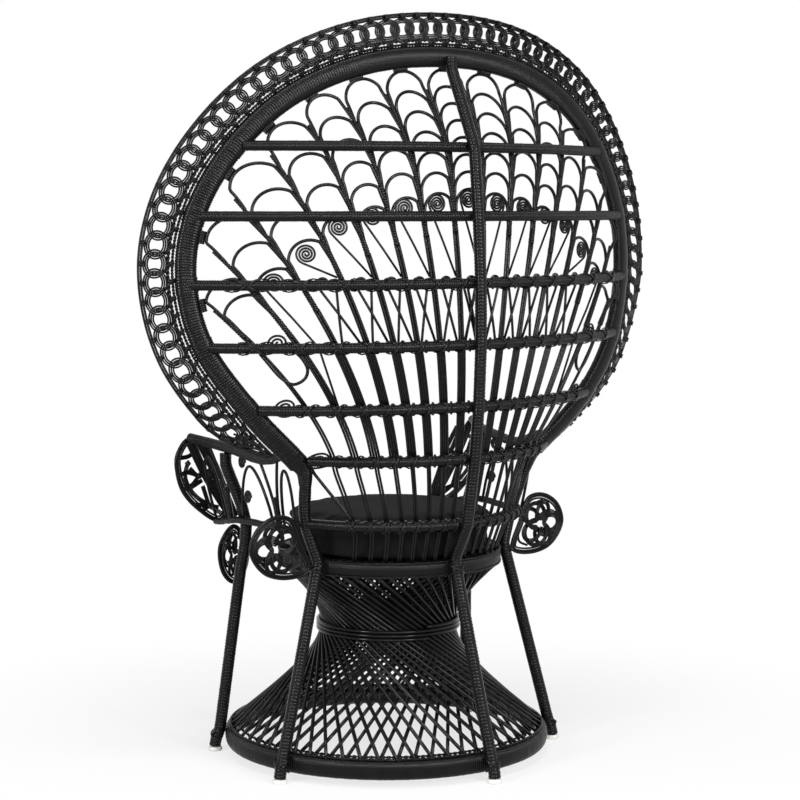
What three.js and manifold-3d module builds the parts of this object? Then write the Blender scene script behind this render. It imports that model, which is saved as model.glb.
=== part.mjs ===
// Peacock chair of black lacquered rattan with a loose round seat cushion.
// Millimetres, +Z up. The chair faces -Y and the sitter's left is +X.
// Every piece is one closed solid. Pieces that touch on the real chair stand CLEARANCE apart.

import * as THREE from 'three';
import { mergeVertices } from 'three/addons/utils/BufferGeometryUtils.js';
import Module from 'manifold-3d';

const wasm = await Module();
wasm.setup();

// Driving sizes: fits
const CLEARANCE = 0.4;
const WELD = 1e-3;

// Driving sizes: base hoop and pedestal
const BASE_RADIUS = 328;
const BASE_THICKNESS = 24;
const BASE_HEIGHT = 38;
const BASE_CORNER = 7;
const BASE_LIFT = 15;
const HOOP_STEPS = 32;
const PEDESTAL_CANES = 57;
const PEDESTAL_CANE = 7.5;
const PEDESTAL_CANE_SIDES = 4;
const FOOT_RING_HEIGHT = 4;
const WAIST_RADIUS = 134;
const BINDING_CANE = 7;
const BINDING_TURNS = 3;
const BINDING_STEPS = 24;
const BINDING_SIDES = 6;
const BINDING_GAP = 0.7;

// Driving sizes: seat
const SEAT_RADIUS = 226;
const SEAT_THICKNESS = 25;
const SEAT_BAND = 32;
const SEAT_TOP = 418;
const SEAT_BACK = 12;
const SEAT_BEAD = 6;
const BEAD_DEPTH = 2;
const DECK_THICKNESS = 8;
const CUSHION_GAP = 4.5;
const CUSHION_HEIGHT = 86;
const CUSHION_CROWN = 16;
const CUSHION_PIPE = 7;
const CUSHION_WAIST = 5;
const CROWN_STEPS = 5;

// Driving sizes: poles. Angles are turned from the back towards the sitter's left.
const POLE = 24;
const POLE_SIDES = 8;
const FOOT_SPLAY = 10;
const CENTRE_FOOT_ANGLE = -4;
const SIDE_POLE_ANGLE = 68;
const SIDE_POLE_BEND_ANGLE = 71;
const SIDE_POLE_FLARE = 22;
const FRONT_FOOT_ANGLE = 117;
const FRONT_KNEE_ANGLE = 112.7;
const FRONT_KNEE_OUT = 64;
const FRONT_KNEE_RISE = 49;
const GLIDE_DIAMETER = 28;
const GLIDE_HEIGHT = 9;
const GLIDE_SIDES = 10;

// Driving sizes: back. Heights are above the seat top and depths behind the seat's rear edge.
// The hoop stations are half of its centreline seen from the front, as half width and height.
const HOOP_STATIONS = [
  [282, 195], [385, 292], [478, 422], [508, 557], [488, 674], [425, 785], [325, 880], [180, 944],
];
const HOOP_RISE = 965;
const HOOP_WIDTH = 40;
const HOOP_THICKNESS = 22;
const HOOP_CORNER = 5;
const HOOP_SETBACK = -31;
const HOOP_BEND_RADIUS = 1377;
const HOOP_END_FORWARD = 45;
const HOOP_END_BEND_RISE = 380;
const BAND_STEPS = 52;
const BORDER_WIDTH = 62;
const BORDER_RAIL = 10;
const BORDER_STRAND = 8;
const BORDER_RINGS = 68;
const BORDER_START = 60;
const BORDER_TAPER = 110;
const BORDER_END_SHARE = 0.55;
const RIB = 18;
const RIB_SIDES = 6;
const RIB_RISES = [73, 202, 303, 421, 537, 663, 792];
const SPINE = 23;
// The shell stations are the height and depth of the rib centres at the middle of the back.
const SHELL_STATIONS = [
  [0, -6], [73, 27], [202, 55], [382, 73], [537, 73], [663, 64], [792, 47], [945, -38],
];

// Driving sizes: fan of canes inside the ribs
const FAN_STEMS_PER_SIDE = 8;
const STEM = 9;
const STEM_SIDES = 4;
// The pitch between stems grows steadily with height, and by the bend besides, whole at the hoop's top.
const FAN_PITCH_AT_SEAT = 22.5;
const FAN_PITCH_SLOPE = 0.04;
const FAN_PITCH_BEND = 39;
// Above the second rib the outer stems spread further: a share of the pitch at the hoop's top, which grows
// with the square of the places beyond the stem that still stands true.
const FAN_SPREAD = 0.244;
const FAN_TRUE_PLACE = 3.5;
const SCALLOP_ROWS = 6;
const SCALLOP_CANE = 6;
const SCALLOP_STEP = 40;
const SCALLOP_HEIGHT = 34;
const SCALLOP_RISE = 686;
const SCALLOP_DROP = 4.2;
const SCALLOP_SIDES = 3;
const SCALLOP_STEPS_PER_ARCH = 4;
// An arch is a cosine, raised by a power to be round, whose foot is blunted by a small share.
const SCALLOP_ROUNDNESS = 0.3;
const SCALLOP_FOOT_SHARE = 0.01;

// Driving sizes: arms, given for the left arm as way out, way back and way up.
// The arm rail is measured from the hoop's end, the front lace from the rail's tip,
// and the rear lace from where it meets the rear pole at the seat top.
const ARM_RAIL = 20;
const ARM_RAIL_SIDES = 8;
const ARM_RAIL_BENDS = [[18, -91, -1], [28, -211, 9], [43, -281, 17], [63, -321, 23]];
const ARM_LOWER_RAIL = 14;
const LOWER_RAIL_RISE = 60;
const ARM_ARCHES = [[58, -10, 0.8], [-15, -75, 0.85], [74, 62, 0.5]];
const ARM_CANE = 9;
const LACE_RIM = 11;
const LACE_RIM_SIDES = 5;
const FRONT_LEAF = [
  [0, -2], [27, -34], [27, -70], [15, -107], [-15, -142], [-67, -174], [-87, -158], [-45, -80],
];
const FRONT_RING = [[-101, -186], [-69, -226], [-77, -284], [-101, -304], [-129, -276], [-131, -220]];
const FRONT_STRANDS = [
  [[-95, -190], [-65, -170]], [[-45, -80], [21, -91]], [[0, -6], [-27, -150]],
];
const REAR_LACE = [
  [40, 84], [76, 90], [114, 68], [128, 28], [98, -16], [44, -30], [0, -18], [19, 38],
];
const REAR_STRANDS = [[[22, 48], [104, -8]], [[46, 86], [84, -20]], [[14, -20], [114, 68]]];

// Materials
const lacquer = new THREE.MeshStandardMaterial({ color: 0x141414, roughness: 0.35, metalness: 0 });
const fabric = new THREE.MeshStandardMaterial({ color: 0x2a2a2c, roughness: 0.95, metalness: 0 });
const glidePlastic = new THREE.MeshStandardMaterial({ color: 0xd6d4ce, roughness: 0.6, metalness: 0 });

const chair = new THREE.Group();
chair.name = 'peacock_chair';

function add(name, geometry, material = lacquer) {
  const mesh = new THREE.Mesh(geometry, material);
  mesh.name = name;
  chair.add(mesh);
}

// Points and paths
const point = (x, y, z) => new THREE.Vector3(x, y, z);
const above = (corner, rise) => point(corner.x, corner.y, corner.z + rise);
const upward = () => point(0, 0, 1);
const same = (path) => path;
const mirrored = (path) => path.map((corner) => point(-corner.x, corner.y, corner.z));

function polar(radius, degrees, z, centreY = 0) {
  const angle = THREE.MathUtils.degToRad(degrees);
  return point(radius * Math.sin(angle), centreY + radius * Math.cos(angle), z);
}

function circle(radius, z, steps, centreY = 0) {
  return Array.from({ length: steps }, (_, i) => polar(radius, (i / steps) * 360, z, centreY));
}

function smooth(points, steps, closed = false) {
  return new THREE.CatmullRomCurve3(points, closed, 'centripetal').getSpacedPoints(steps);
}

// Point where a path crosses a level of one axis, or its nearer end where it never does.
function crossing(path, axis, level) {
  const i = path.findIndex((end, n) => n > 0 && (path[n - 1][axis] - level) * (end[axis] - level) <= 0);
  if (i < 0) {
    const [first, last] = [path[0], path.at(-1)];
    return (Math.abs(first[axis] - level) < Math.abs(last[axis] - level) ? first : last).clone();
  }
  const share = (level - path[i - 1][axis]) / (path[i][axis] - path[i - 1][axis]);
  return path[i - 1].clone().lerp(path[i], share);
}

// Distance from the axis of a many-sided cane to the middle of its flats.
const flat = (diameter, sides) => (diameter / 2) * Math.cos(Math.PI / sides);

// Radius of a many-sided hoop at an angle, between its corner radius and its flats.
function facet(radius, degrees) {
  const step = 360 / HOOP_STEPS;
  const fromFlat = THREE.MathUtils.euclideanModulo(degrees, step) - step / 2;
  const cosine = (angle) => Math.cos(THREE.MathUtils.degToRad(angle));
  return (radius * cosine(step / 2)) / cosine(fromFlat);
}

// Closed solid from rings of corners, each joined to the next. An open row of rings gets flat ends.
function solidFromRings(rings, closed) {
  const sides = rings[0].length;
  const corners = rings.flat().flatMap((corner) => [corner.x, corner.y, corner.z]);
  const faces = [];
  const spans = closed ? rings.length : rings.length - 1;
  for (let i = 0; i < spans; i++) {
    const here = i * sides;
    const next = ((i + 1) % rings.length) * sides;
    for (let j = 0; j < sides; j++) {
      const k = (j + 1) % sides;
      faces.push(here + j, here + k, next + k, here + j, next + k, next + j);
    }
  }
  if (!closed) {
    const last = (rings.length - 1) * sides;
    for (let j = 1; j < sides - 1; j++) {
      faces.push(0, j + 1, j, last, last + j, last + j + 1);
    }
  }
  const geometry = new THREE.BufferGeometry();
  geometry.setAttribute('position', new THREE.Float32BufferAttribute(corners, 3));
  geometry.setIndex(faces);
  return finished(geometry);
}

// Welded copy of a geometry without its empty triangles, with its faces turned outwards.
function finished(geometry) {
  geometry.deleteAttribute('normal');
  geometry.deleteAttribute('uv');
  const welded = mergeVertices(geometry, WELD);
  const faces = [];
  for (let i = 0; i < welded.index.count; i += 3) {
    const [a, b, c] = welded.index.array.slice(i, i + 3);
    if (a !== b && b !== c && c !== a) {
      faces.push(a, b, c);
    }
  }
  welded.setIndex(faces);
  if (signedVolume(welded) < 0) {
    welded.setIndex(faces.reverse());
  }
  welded.computeVertexNormals();
  return welded;
}

function signedVolume(geometry) {
  const position = geometry.attributes.position;
  const index = geometry.index;
  const corner = [0, 1, 2].map(() => new THREE.Vector3());
  let volume = 0;
  for (let i = 0; i < index.count; i += 3) {
    corner.forEach((vector, n) => vector.fromBufferAttribute(position, index.getX(i + n)));
    volume += corner[0].dot(corner[1].cross(corner[2])) / 6;
  }
  return volume;
}

// Section corners carried along a path. facing gives the section's second axis.
// Without facing, the second axis of one ring is carried on to the next.
function sweep(path, section, closed = false, facing = null) {
  const count = path.length;
  let carried = null;
  const rings = path.map((centre, i) => {
    const before = path[closed ? (i + count - 1) % count : Math.max(i - 1, 0)];
    const after = path[closed ? (i + 1) % count : Math.min(i + 1, count - 1)];
    const tangent = after.clone().sub(before).normalize();
    const upright = Math.abs(tangent.z) < 0.9 ? upward() : point(0, 1, 0);
    const wanted = facing ? facing(centre) : carried ?? upright;
    carried = wanted.clone().addScaledVector(tangent, -wanted.dot(tangent)).normalize();
    const side = new THREE.Vector3().crossVectors(tangent, carried);
    return section.map(([a, b]) => centre.clone().addScaledVector(side, a).addScaledVector(carried, b));
  });
  return solidFromRings(rings, closed);
}

function roundSection(diameter, sides) {
  return Array.from({ length: sides }, (_, i) => {
    const angle = ((i + 0.5) / sides) * 2 * Math.PI;
    return [(diameter / 2) * Math.cos(angle), (diameter / 2) * Math.sin(angle)];
  });
}

// Band section with cut corners.
function bandSection(width, thickness, corner) {
  const a = width / 2;
  const b = thickness / 2;
  const c = corner;
  return [
    [a, c - b], [a, b - c], [a - c, b], [c - a, b], [-a, b - c], [-a, c - b], [c - a, -b], [a - c, -b],
  ];
}

const tube = (path, diameter, sides) => sweep(path, roundSection(diameter, sides));

// Union of touching solids into one solid.
function toManifold(geometry) {
  const vertProperties = geometry.attributes.position.array;
  const triVerts = new Uint32Array(geometry.index.array);
  return new wasm.Manifold(new wasm.Mesh({ numProp: 3, vertProperties, triVerts }));
}

function fuse(geometries) {
  const whole = geometries.map(toManifold).reduce((sum, next) => sum.add(next));
  const mesh = whole.getMesh();
  const geometry = new THREE.BufferGeometry();
  const corners = new THREE.Float32BufferAttribute(mesh.vertProperties, mesh.numProp);
  geometry.setAttribute('position', corners);
  geometry.setIndex(Array.from(mesh.triVerts));
  geometry.computeVertexNormals();
  return geometry;
}

// Base hoop
const baseTop = BASE_LIFT + BASE_HEIGHT;

function buildBaseHoop() {
  const path = circle(BASE_RADIUS - BASE_THICKNESS / 2, BASE_LIFT + BASE_HEIGHT / 2, HOOP_STEPS);
  const section = bandSection(BASE_THICKNESS, BASE_HEIGHT, BASE_CORNER);
  add('base_hoop', sweep(path, section, true, upward));
}

// Pedestal: straight canes from the base hoop to the seat hoop, drawn in at the waist.
// The two families lean opposite ways and the inner one stands inside the outer one.
const pedestalBottom = baseTop + CLEARANCE;
const seatBottom = SEAT_TOP - SEAT_BAND;
const pedestalTop = seatBottom - CLEARANCE;

function pedestalFamily(bottomRadius, waistRadius, topRadius, lean) {
  const twistBelow = Math.acos(waistRadius / bottomRadius);
  const twistAbove = Math.acos(waistRadius / topRadius);
  const runBelow = Math.sqrt(bottomRadius ** 2 - waistRadius ** 2);
  const runAbove = Math.sqrt(topRadius ** 2 - waistRadius ** 2);
  const waistShare = runBelow / (runBelow + runAbove);
  const twist = THREE.MathUtils.radToDeg(twistBelow + twistAbove) * lean;
  const height = pedestalTop - pedestalBottom;
  const slope = Math.hypot(height, runBelow + runAbove) / height;
  return { bottomRadius, topRadius, twist, waistShare, slope };
}

const familyGap = 1.5 * PEDESTAL_CANE;
const footRingWidth = 1.75 * PEDESTAL_CANE;
const outerFoot = BASE_RADIUS - PEDESTAL_CANE / 2 - footRingWidth / 2;
const innerFoot = outerFoot - footRingWidth - 0.6 * PEDESTAL_CANE;
const outerHead = SEAT_RADIUS - footRingWidth / 2;
const innerHead = outerHead - footRingWidth - PEDESTAL_CANE / 6;
const innerWaist = WAIST_RADIUS - familyGap;
const outerFamily = pedestalFamily(outerFoot, WAIST_RADIUS, outerHead, 1);
const innerFamily = pedestalFamily(innerFoot, innerWaist, innerHead, -1);

function pedestalCane(family, angle) {
  const foot = polar(family.bottomRadius, angle, pedestalBottom + FOOT_RING_HEIGHT / 4);
  const head = polar(family.topRadius, angle + family.twist, pedestalTop, SEAT_BACK);
  const along = head.clone().sub(foot).setZ(0).normalize();
  const across = point(-along.y, along.x, 0);
  const section = roundSection(PEDESTAL_CANE, PEDESTAL_CANE_SIDES);
  const ends = [foot, head].map((end) => section.map(([a, b]) => {
    const corner = end.clone().addScaledVector(along, a * family.slope);
    return corner.addScaledVector(across, b);
  }));
  return solidFromRings(ends, false);
}

function buildPedestalFamily(name, family) {
  const path = circle(family.bottomRadius, pedestalBottom + FOOT_RING_HEIGHT / 2, PEDESTAL_CANES);
  const a = footRingWidth / 2;
  const b = FOOT_RING_HEIGHT / 2;
  const footRing = sweep(path, [[a, -b], [a, b], [-a, b], [-a, -b]], true, upward);
  const pieces = [footRing];
  for (let i = 0; i < PEDESTAL_CANES; i++) {
    pieces.push(pedestalCane(family, ((i + 0.5) / PEDESTAL_CANES) * 360));
  }
  add(name, fuse(pieces));
}

// Waist binding: one cane wound round the outer canes.
function buildWaistBinding() {
  const waistZ = pedestalBottom + (pedestalTop - pedestalBottom) * outerFamily.waistShare;
  const waistY = SEAT_BACK * outerFamily.waistShare;
  const radius = WAIST_RADIUS + PEDESTAL_CANE / 2 + BINDING_CANE / 2 + 5 * CLEARANCE;
  const pitch = BINDING_CANE + BINDING_GAP;
  const steps = BINDING_TURNS * BINDING_STEPS;
  const path = Array.from({ length: steps + 1 }, (_, i) => {
    const turn = i / BINDING_STEPS;
    return polar(radius, turn * 360, waistZ + (turn - BINDING_TURNS / 2) * pitch, waistY);
  });
  add('waist_binding', tube(path, BINDING_CANE, BINDING_SIDES));
  let least = Infinity;
  for (let i = 0; i + BINDING_STEPS <= steps; i++) {
    for (let j = i + BINDING_STEPS / 2; j <= steps; j++) {
      least = Math.min(least, path[i].distanceTo(path[j]) - BINDING_CANE);
    }
  }
  console.log(`waist binding: least gap to itself ${least.toFixed(2)} mm`);
}

// Seat hoop with a bead along each edge, and the woven deck inside it
function buildSeat() {
  const path = circle(SEAT_RADIUS - SEAT_THICKNESS / 2, SEAT_TOP - SEAT_BAND / 2, HOOP_STEPS, SEAT_BACK);
  const a = SEAT_THICKNESS / 2;
  const b = SEAT_BAND / 2;
  const sunk = b - SEAT_BEAD - BEAD_DEPTH;
  const section = [
    [a, -b], [a, SEAT_BEAD - b], [a - BEAD_DEPTH, -sunk], [a - BEAD_DEPTH, sunk], [a, b - SEAT_BEAD],
    [a, b], [-a, b], [-a, -b],
  ];
  add('seat_hoop', sweep(path, section, true, upward));

  const radius = SEAT_RADIUS - SEAT_THICKNESS - CLEARANCE;
  const deck = new THREE.CylinderGeometry(radius, radius, DECK_THICKNESS, HOOP_STEPS);
  deck.rotateX(Math.PI / 2);
  deck.translate(0, SEAT_BACK, SEAT_TOP - DECK_THICKNESS / 2);
  add('seat_deck', finished(deck));
}

// Cushion: piped top and bottom edges, sides drawn in between them and a crowned top.
const stemCircle = SEAT_RADIUS - STEM;

function buildCushion() {
  const radius = stemCircle - STEM / 2 - CUSHION_GAP;
  const bottom = SEAT_TOP + CLEARANCE;
  const pipe = CUSHION_PIPE / 2;
  const topEdge = bottom + CUSHION_HEIGHT - CUSHION_CROWN;
  const profile = [
    [0, bottom], [radius - 2 * CUSHION_PIPE, bottom], [radius - pipe, bottom + pipe],
    [radius, bottom + 3 * pipe], [radius - pipe, bottom + 5 * pipe],
    [radius - CUSHION_WAIST, (bottom + topEdge) / 2],
    [radius - pipe, topEdge - 3 * pipe], [radius, topEdge - pipe], [radius - pipe, topEdge + pipe],
  ];
  for (let i = 1; i < CROWN_STEPS; i++) {
    const angle = (i / CROWN_STEPS) * (Math.PI / 2);
    const crown = topEdge + CUSHION_CROWN * Math.sin(angle);
    profile.push([(radius - CUSHION_PIPE) * Math.cos(angle), crown]);
  }
  profile.push([0, topEdge + CUSHION_CROWN]);
  const cushion = new THREE.LatheGeometry(profile.map(([r, z]) => new THREE.Vector2(r, z)), HOOP_STEPS);
  cushion.rotateX(Math.PI / 2);
  cushion.translate(0, SEAT_BACK, 0);
  add('seat_cushion', finished(cushion), fabric);
}

// Back hoop centreline, seen flat from the front and bent to a wide arc seen from above. Its ends come forward.
const seatRear = SEAT_BACK + SEAT_RADIUS;
const hoopTop = SEAT_TOP + HOOP_RISE;
const hoopDepth = (x) => seatRear + HOOP_SETBACK - x ** 2 / (2 * HOOP_BEND_RADIUS);
const hoopEndBend = HOOP_END_BEND_RISE - HOOP_STATIONS[0][1];

const endBend = (z) => Math.max(0, SEAT_TOP + HOOP_END_BEND_RISE - z) / hoopEndBend;

function onBend(corner) {
  return point(corner.x, hoopDepth(corner.x) - HOOP_END_FORWARD * endBend(corner.z) ** 2, corner.z);
}

function bendNormal(corner) {
  const fall = (-2 * HOOP_END_FORWARD * endBend(corner.z)) / hoopEndBend;
  return point(corner.x / HOOP_BEND_RADIUS, 1, fall).normalize();
}

const hoopHalfSteps = 200;
const hoopLeft = HOOP_STATIONS.map(([x, rise]) => point(x, 0, SEAT_TOP + rise));
const hoopRight = mirrored(hoopLeft).reverse();
const hoopLine = smooth([...hoopLeft, point(0, 0, hoopTop), ...hoopRight], 2 * hoopHalfSteps);
const hoopHalf = hoopLine.slice(0, hoopHalfSteps + 1);
const hoopCurve = new THREE.CatmullRomCurve3(hoopLine);
const bandPath = hoopCurve.getSpacedPoints(BAND_STEPS).map(onBend);
const hoopEnd = bandPath[0];
const hoopEndRun = bandPath[1].clone().sub(hoopEnd).normalize();

function fromHoop(x, z) {
  return Math.min(...hoopLine.map((corner) => Math.hypot(corner.x - x, corner.z - z)));
}

// Border outside the hoop: two rails with a chain of rings between them
const railFlat = flat(BORDER_RAIL, 4);
const strandFlat = (BORDER_STRAND / 2) * Math.cos(Math.PI / 6);
const innerRail = HOOP_WIDTH / 2 + railFlat + 3 * CLEARANCE;
const outerRail = HOOP_WIDTH / 2 + BORDER_WIDTH - railFlat;
const stepsPerRing = 3;
const borderSteps = BORDER_RINGS * stepsPerRing;

function borderRun(i) {
  return BORDER_START + ((hoopCurve.getLength() - 2 * BORDER_START) * i) / borderSteps;
}

// Distance between the rails, narrower towards the hoop's ends.
function borderSpan(i) {
  const run = borderRun(i);
  const fromEnd = Math.min(run, hoopCurve.getLength() - run);
  const taper = THREE.MathUtils.smoothstep(fromEnd, 0, BORDER_TAPER);
  return (outerRail - innerRail) * THREE.MathUtils.lerp(BORDER_END_SHARE, 1, taper);
}

function borderPoint(i, offset) {
  const share = borderRun(i) / hoopCurve.getLength();
  const middle = hoopCurve.getPointAt(share);
  const tangent = hoopCurve.getTangentAt(share);
  return onBend(point(middle.x + tangent.z * offset, 0, middle.z - tangent.x * offset));
}

function buildHoopAndBorder() {
  const hoopSection = bandSection(HOOP_WIDTH, HOOP_THICKNESS, HOOP_CORNER);
  add('back_hoop', sweep(bandPath, hoopSection, false, bendNormal));

  // The rails bend where the rings reach them.
  const steps = Array.from({ length: borderSteps + 1 }, (_, i) => i);
  const ringPeaks = steps.filter((i) => i === 0 || i === borderSteps || i % stepsPerRing === 1);
  const railSection = roundSection(BORDER_RAIL, 4);
  const inner = ringPeaks.map((i) => borderPoint(i, innerRail));
  const outer = ringPeaks.map((i) => borderPoint(i, innerRail + borderSpan(i)));
  add('border_inner_rail', sweep(inner, railSection, false, bendNormal));
  add('border_outer_rail', sweep(outer, railSection, false, bendNormal));

  // The ring chain is two waved strands in opposite step, flat side to flat side.
  for (const [name, layer] of [['front', -1], ['rear', 1]]) {
    const lift = layer * (BORDER_STRAND / 4 + CLEARANCE / 2);
    const strand = steps.map((i) => {
      const swing = borderSpan(i) / 2 - railFlat - strandFlat - CLEARANCE;
      const wave = layer * Math.sin((i / stepsPerRing) * Math.PI + Math.PI / 6);
      const corner = borderPoint(i, innerRail + borderSpan(i) / 2 + swing * wave);
      return corner.addScaledVector(bendNormal(corner), lift);
    });
    const flatSide = (-layer * BORDER_STRAND) / 4;
    const section = [[strandFlat, flatSide], [0, (layer * BORDER_STRAND) / 2], [-strandFlat, flatSide]];
    add(`border_wave_${name}`, sweep(strand, section, false, bendNormal));
  }
}

// Arm rail: from the front face of the hoop's end, forwards and outwards
const railSeat = hoopEnd.clone().addScaledVector(hoopEndRun, HOOP_WIDTH / 2);
const railNormal = bendNormal(railSeat).negate();
const railStart = railSeat.clone().addScaledVector(railNormal, HOOP_THICKNESS / 2 + 2 * CLEARANCE);
const railNeck = railStart.clone().addScaledVector(railNormal, ARM_RAIL / 2);
const railBends = ARM_RAIL_BENDS.map((bend) => point(...bend).add(hoopEnd));
const armRailPath = [railStart, ...smooth([railNeck, ...railBends], 10)];
const railTip = armRailPath.at(-1);
const railFront = point(railTip.x, railTip.y - ARM_RAIL / 4, railTip.z);

// Poles: the rear side poles run from the floor up to the hoop's ends, the front ones to the arm rails.
// Each stands straight up from its glide, leans on the base hoop and, at the rear, on the seat hoop.
const poleFlat = flat(POLE, POLE_SIDES);
const seatMiddle = SEAT_TOP - SEAT_BAND / 2;
const poleLean = Math.hypot(1, (BASE_RADIUS - SEAT_RADIUS) / (seatMiddle - baseTop));
const outwards = (corner) => point(corner.x, corner.y, 0);
const seatContact = SEAT_TOP - SEAT_BEAD / 2;

function poleFoot(angle) {
  const radius = facet(BASE_RADIUS, angle) + (poleFlat + CLEARANCE) * poleLean;
  const foot = polar(radius + FOOT_SPLAY, angle, GLIDE_HEIGHT + CLEARANCE);
  return [foot, above(foot, GLIDE_HEIGHT), polar(radius, angle, baseTop - BASE_CORNER)];
}

function poleAtSeat(angle, z) {
  return polar(facet(SEAT_RADIUS, angle) + poleFlat + CLEARANCE, angle, z, SEAT_BACK);
}

const sideBendRadius = SEAT_RADIUS + poleFlat + SIDE_POLE_FLARE;
const sideUpper = smooth([
  poleAtSeat(SIDE_POLE_ANGLE, seatContact),
  polar(sideBendRadius, SIDE_POLE_BEND_ANGLE, SEAT_TOP + RIB_RISES[0], SEAT_BACK),
  hoopEnd.clone().addScaledVector(hoopEndRun, -POLE),
], 6);
const sidePoleEnd = hoopEnd.clone().addScaledVector(hoopEndRun, -CLEARANCE);
const sidePolePath = [...poleFoot(SIDE_POLE_ANGLE), ...sideUpper, sidePoleEnd];

const frontFoot = poleFoot(FRONT_FOOT_ANGLE);
const kneeRadius = SEAT_RADIUS + FRONT_KNEE_OUT;
const knee = polar(kneeRadius, FRONT_KNEE_ANGLE, SEAT_TOP + FRONT_KNEE_RISE, SEAT_BACK);
const railOverKnee = crossing(armRailPath, 'y', knee.y);
const railUnderside = crossing(armRailPath, 'y', knee.y + POLE / 2).z - flat(ARM_RAIL, ARM_RAIL_SIDES);
const frontTop = point(railOverKnee.x, knee.y, railUnderside - 2 * CLEARANCE);
const frontBend = smooth([frontFoot[2].clone().lerp(knee, 0.8), knee, above(frontTop, -POLE)], 5);
const frontPolePath = [...frontFoot, ...frontBend, frontTop];

const centreTop = poleAtSeat(0, SEAT_TOP);
const centrePolePath = [...poleFoot(CENTRE_FOOT_ANGLE), above(centreTop, -GLIDE_HEIGHT), centreTop];

function buildPoles() {
  const section = roundSection(POLE, POLE_SIDES);
  const poles = {
    rear_left: sidePolePath,
    rear_right: mirrored(sidePolePath),
    rear_centre: centrePolePath,
    front_left: frontPolePath,
    front_right: mirrored(frontPolePath),
  };
  for (const [name, path] of Object.entries(poles)) {
    add(`leg_${name}`, sweep(path, section, false, outwards));
    const radius = GLIDE_DIAMETER / 2;
    const glide = new THREE.CylinderGeometry(radius, radius, GLIDE_HEIGHT, GLIDE_SIDES);
    glide.rotateX(Math.PI / 2);
    glide.translate(path[0].x, path[0].y, GLIDE_HEIGHT / 2);
    add(`glide_${name}`, finished(glide), glidePlastic);
  }
}

// Shell of the back: at each height an arc from the hoop or side pole, round behind, to the other side.
const shellPoints = SHELL_STATIONS.map(([rise, depth]) => point(0, seatRear + depth, SEAT_TOP + rise));
const shellCurve = smooth(shellPoints, 80);
const shellBack = (z) => crossing(shellCurve, 'z', z).y;
const ribHeights = RIB_RISES.map((rise) => SEAT_TOP + rise);
const ribFlat = flat(RIB, RIB_SIDES);

function shellEdge(z) {
  return z < hoopEnd.z ? crossing(sideUpper, 'z', z) : onBend(crossing(hoopHalf, 'z', z));
}

function shellArc(z) {
  const back = shellBack(z);
  const edge = shellEdge(z);
  const drop = Math.max(back - edge.y, 1);
  const radius = (edge.x ** 2 + drop ** 2) / (2 * drop);
  return { radius, middleY: back - radius };
}

// Point on the shell, moved in by inset towards the middle of its arc.
function shellPoint(x, z, inset = 0) {
  const { radius, middleY } = shellArc(z);
  const angle = Math.asin(THREE.MathUtils.clamp(x / radius, -1, 1));
  return point(Math.sin(angle) * (radius - inset), middleY + Math.cos(angle) * (radius - inset), z);
}

const arcNormal = (corner) => point(corner.x, corner.y - shellArc(corner.z).middleY, 0).normalize();
const alongArc = (corner) => arcNormal(corner).applyAxisAngle(upward(), Math.PI / 2);

// Distance from a rib's axis to that of a cane which crosses it, leaning by a slope.
function acrossRib(caneFlat, slope) {
  return ribFlat + (RIB / 4) * slope + (caneFlat + CLEARANCE) * Math.hypot(1, slope);
}

// Half width of a rib: it butts against the hoop or, below the hoop's ends, against the side poles.
function ribReach(z) {
  let reach = shellEdge(z).x;
  const clear = (x, height, gap) => fromHoop(x, height) > HOOP_WIDTH / 2 + gap;
  const fits = () => {
    if (z < hoopEnd.z) {
      return shellPoint(reach, z).distanceTo(shellEdge(z)) > POLE / 2 + 3 * CLEARANCE;
    }
    const rear = shellPoint(reach, z, -ribFlat).x;
    const ends = [[rear, RIB / 4], [rear, -RIB / 4], [reach, RIB / 2], [reach, -RIB / 2]];
    return ends.every(([x, rise]) => clear(x, z + rise, 3 * CLEARANCE));
  };
  while (!fits()) {
    reach -= CLEARANCE;
  }
  return reach;
}

// Fan stems stand at odd half pitches from the middle, and the pitch widens with height.
function fanPitch(z) {
  const rise = z - SEAT_TOP;
  return FAN_PITCH_AT_SEAT + FAN_PITCH_SLOPE * rise + FAN_PITCH_BEND * (rise / HOOP_RISE) ** 2;
}

// Distance of a place in the fan from the middle, at a height.
function fanX(place, z) {
  const climb = (z - SEAT_TOP - RIB_RISES[1]) / (HOOP_RISE - RIB_RISES[1]);
  const beyond = Math.max(0, Math.abs(place) - FAN_TRUE_PLACE);
  const spread = FAN_SPREAD * Math.max(0, climb) * beyond ** 2;
  return (place + Math.sign(place) * spread) * fanPitch(z);
}

const stemPlaces = Array.from({ length: FAN_STEMS_PER_SIDE }, (_, n) => n + 0.5);

// A rib bends where each stem crosses it.
function ribPath(z) {
  const reach = ribReach(z);
  const crossings = stemPlaces.map((place) => fanX(place, z)).filter((x) => x < reach - RIB);
  const half = [...crossings, (crossings.at(-1) + reach) / 2, reach];
  const across = [...half.map((x) => -x).reverse(), 0, ...half];
  return across.map((x) => shellPoint(x, z));
}

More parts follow.
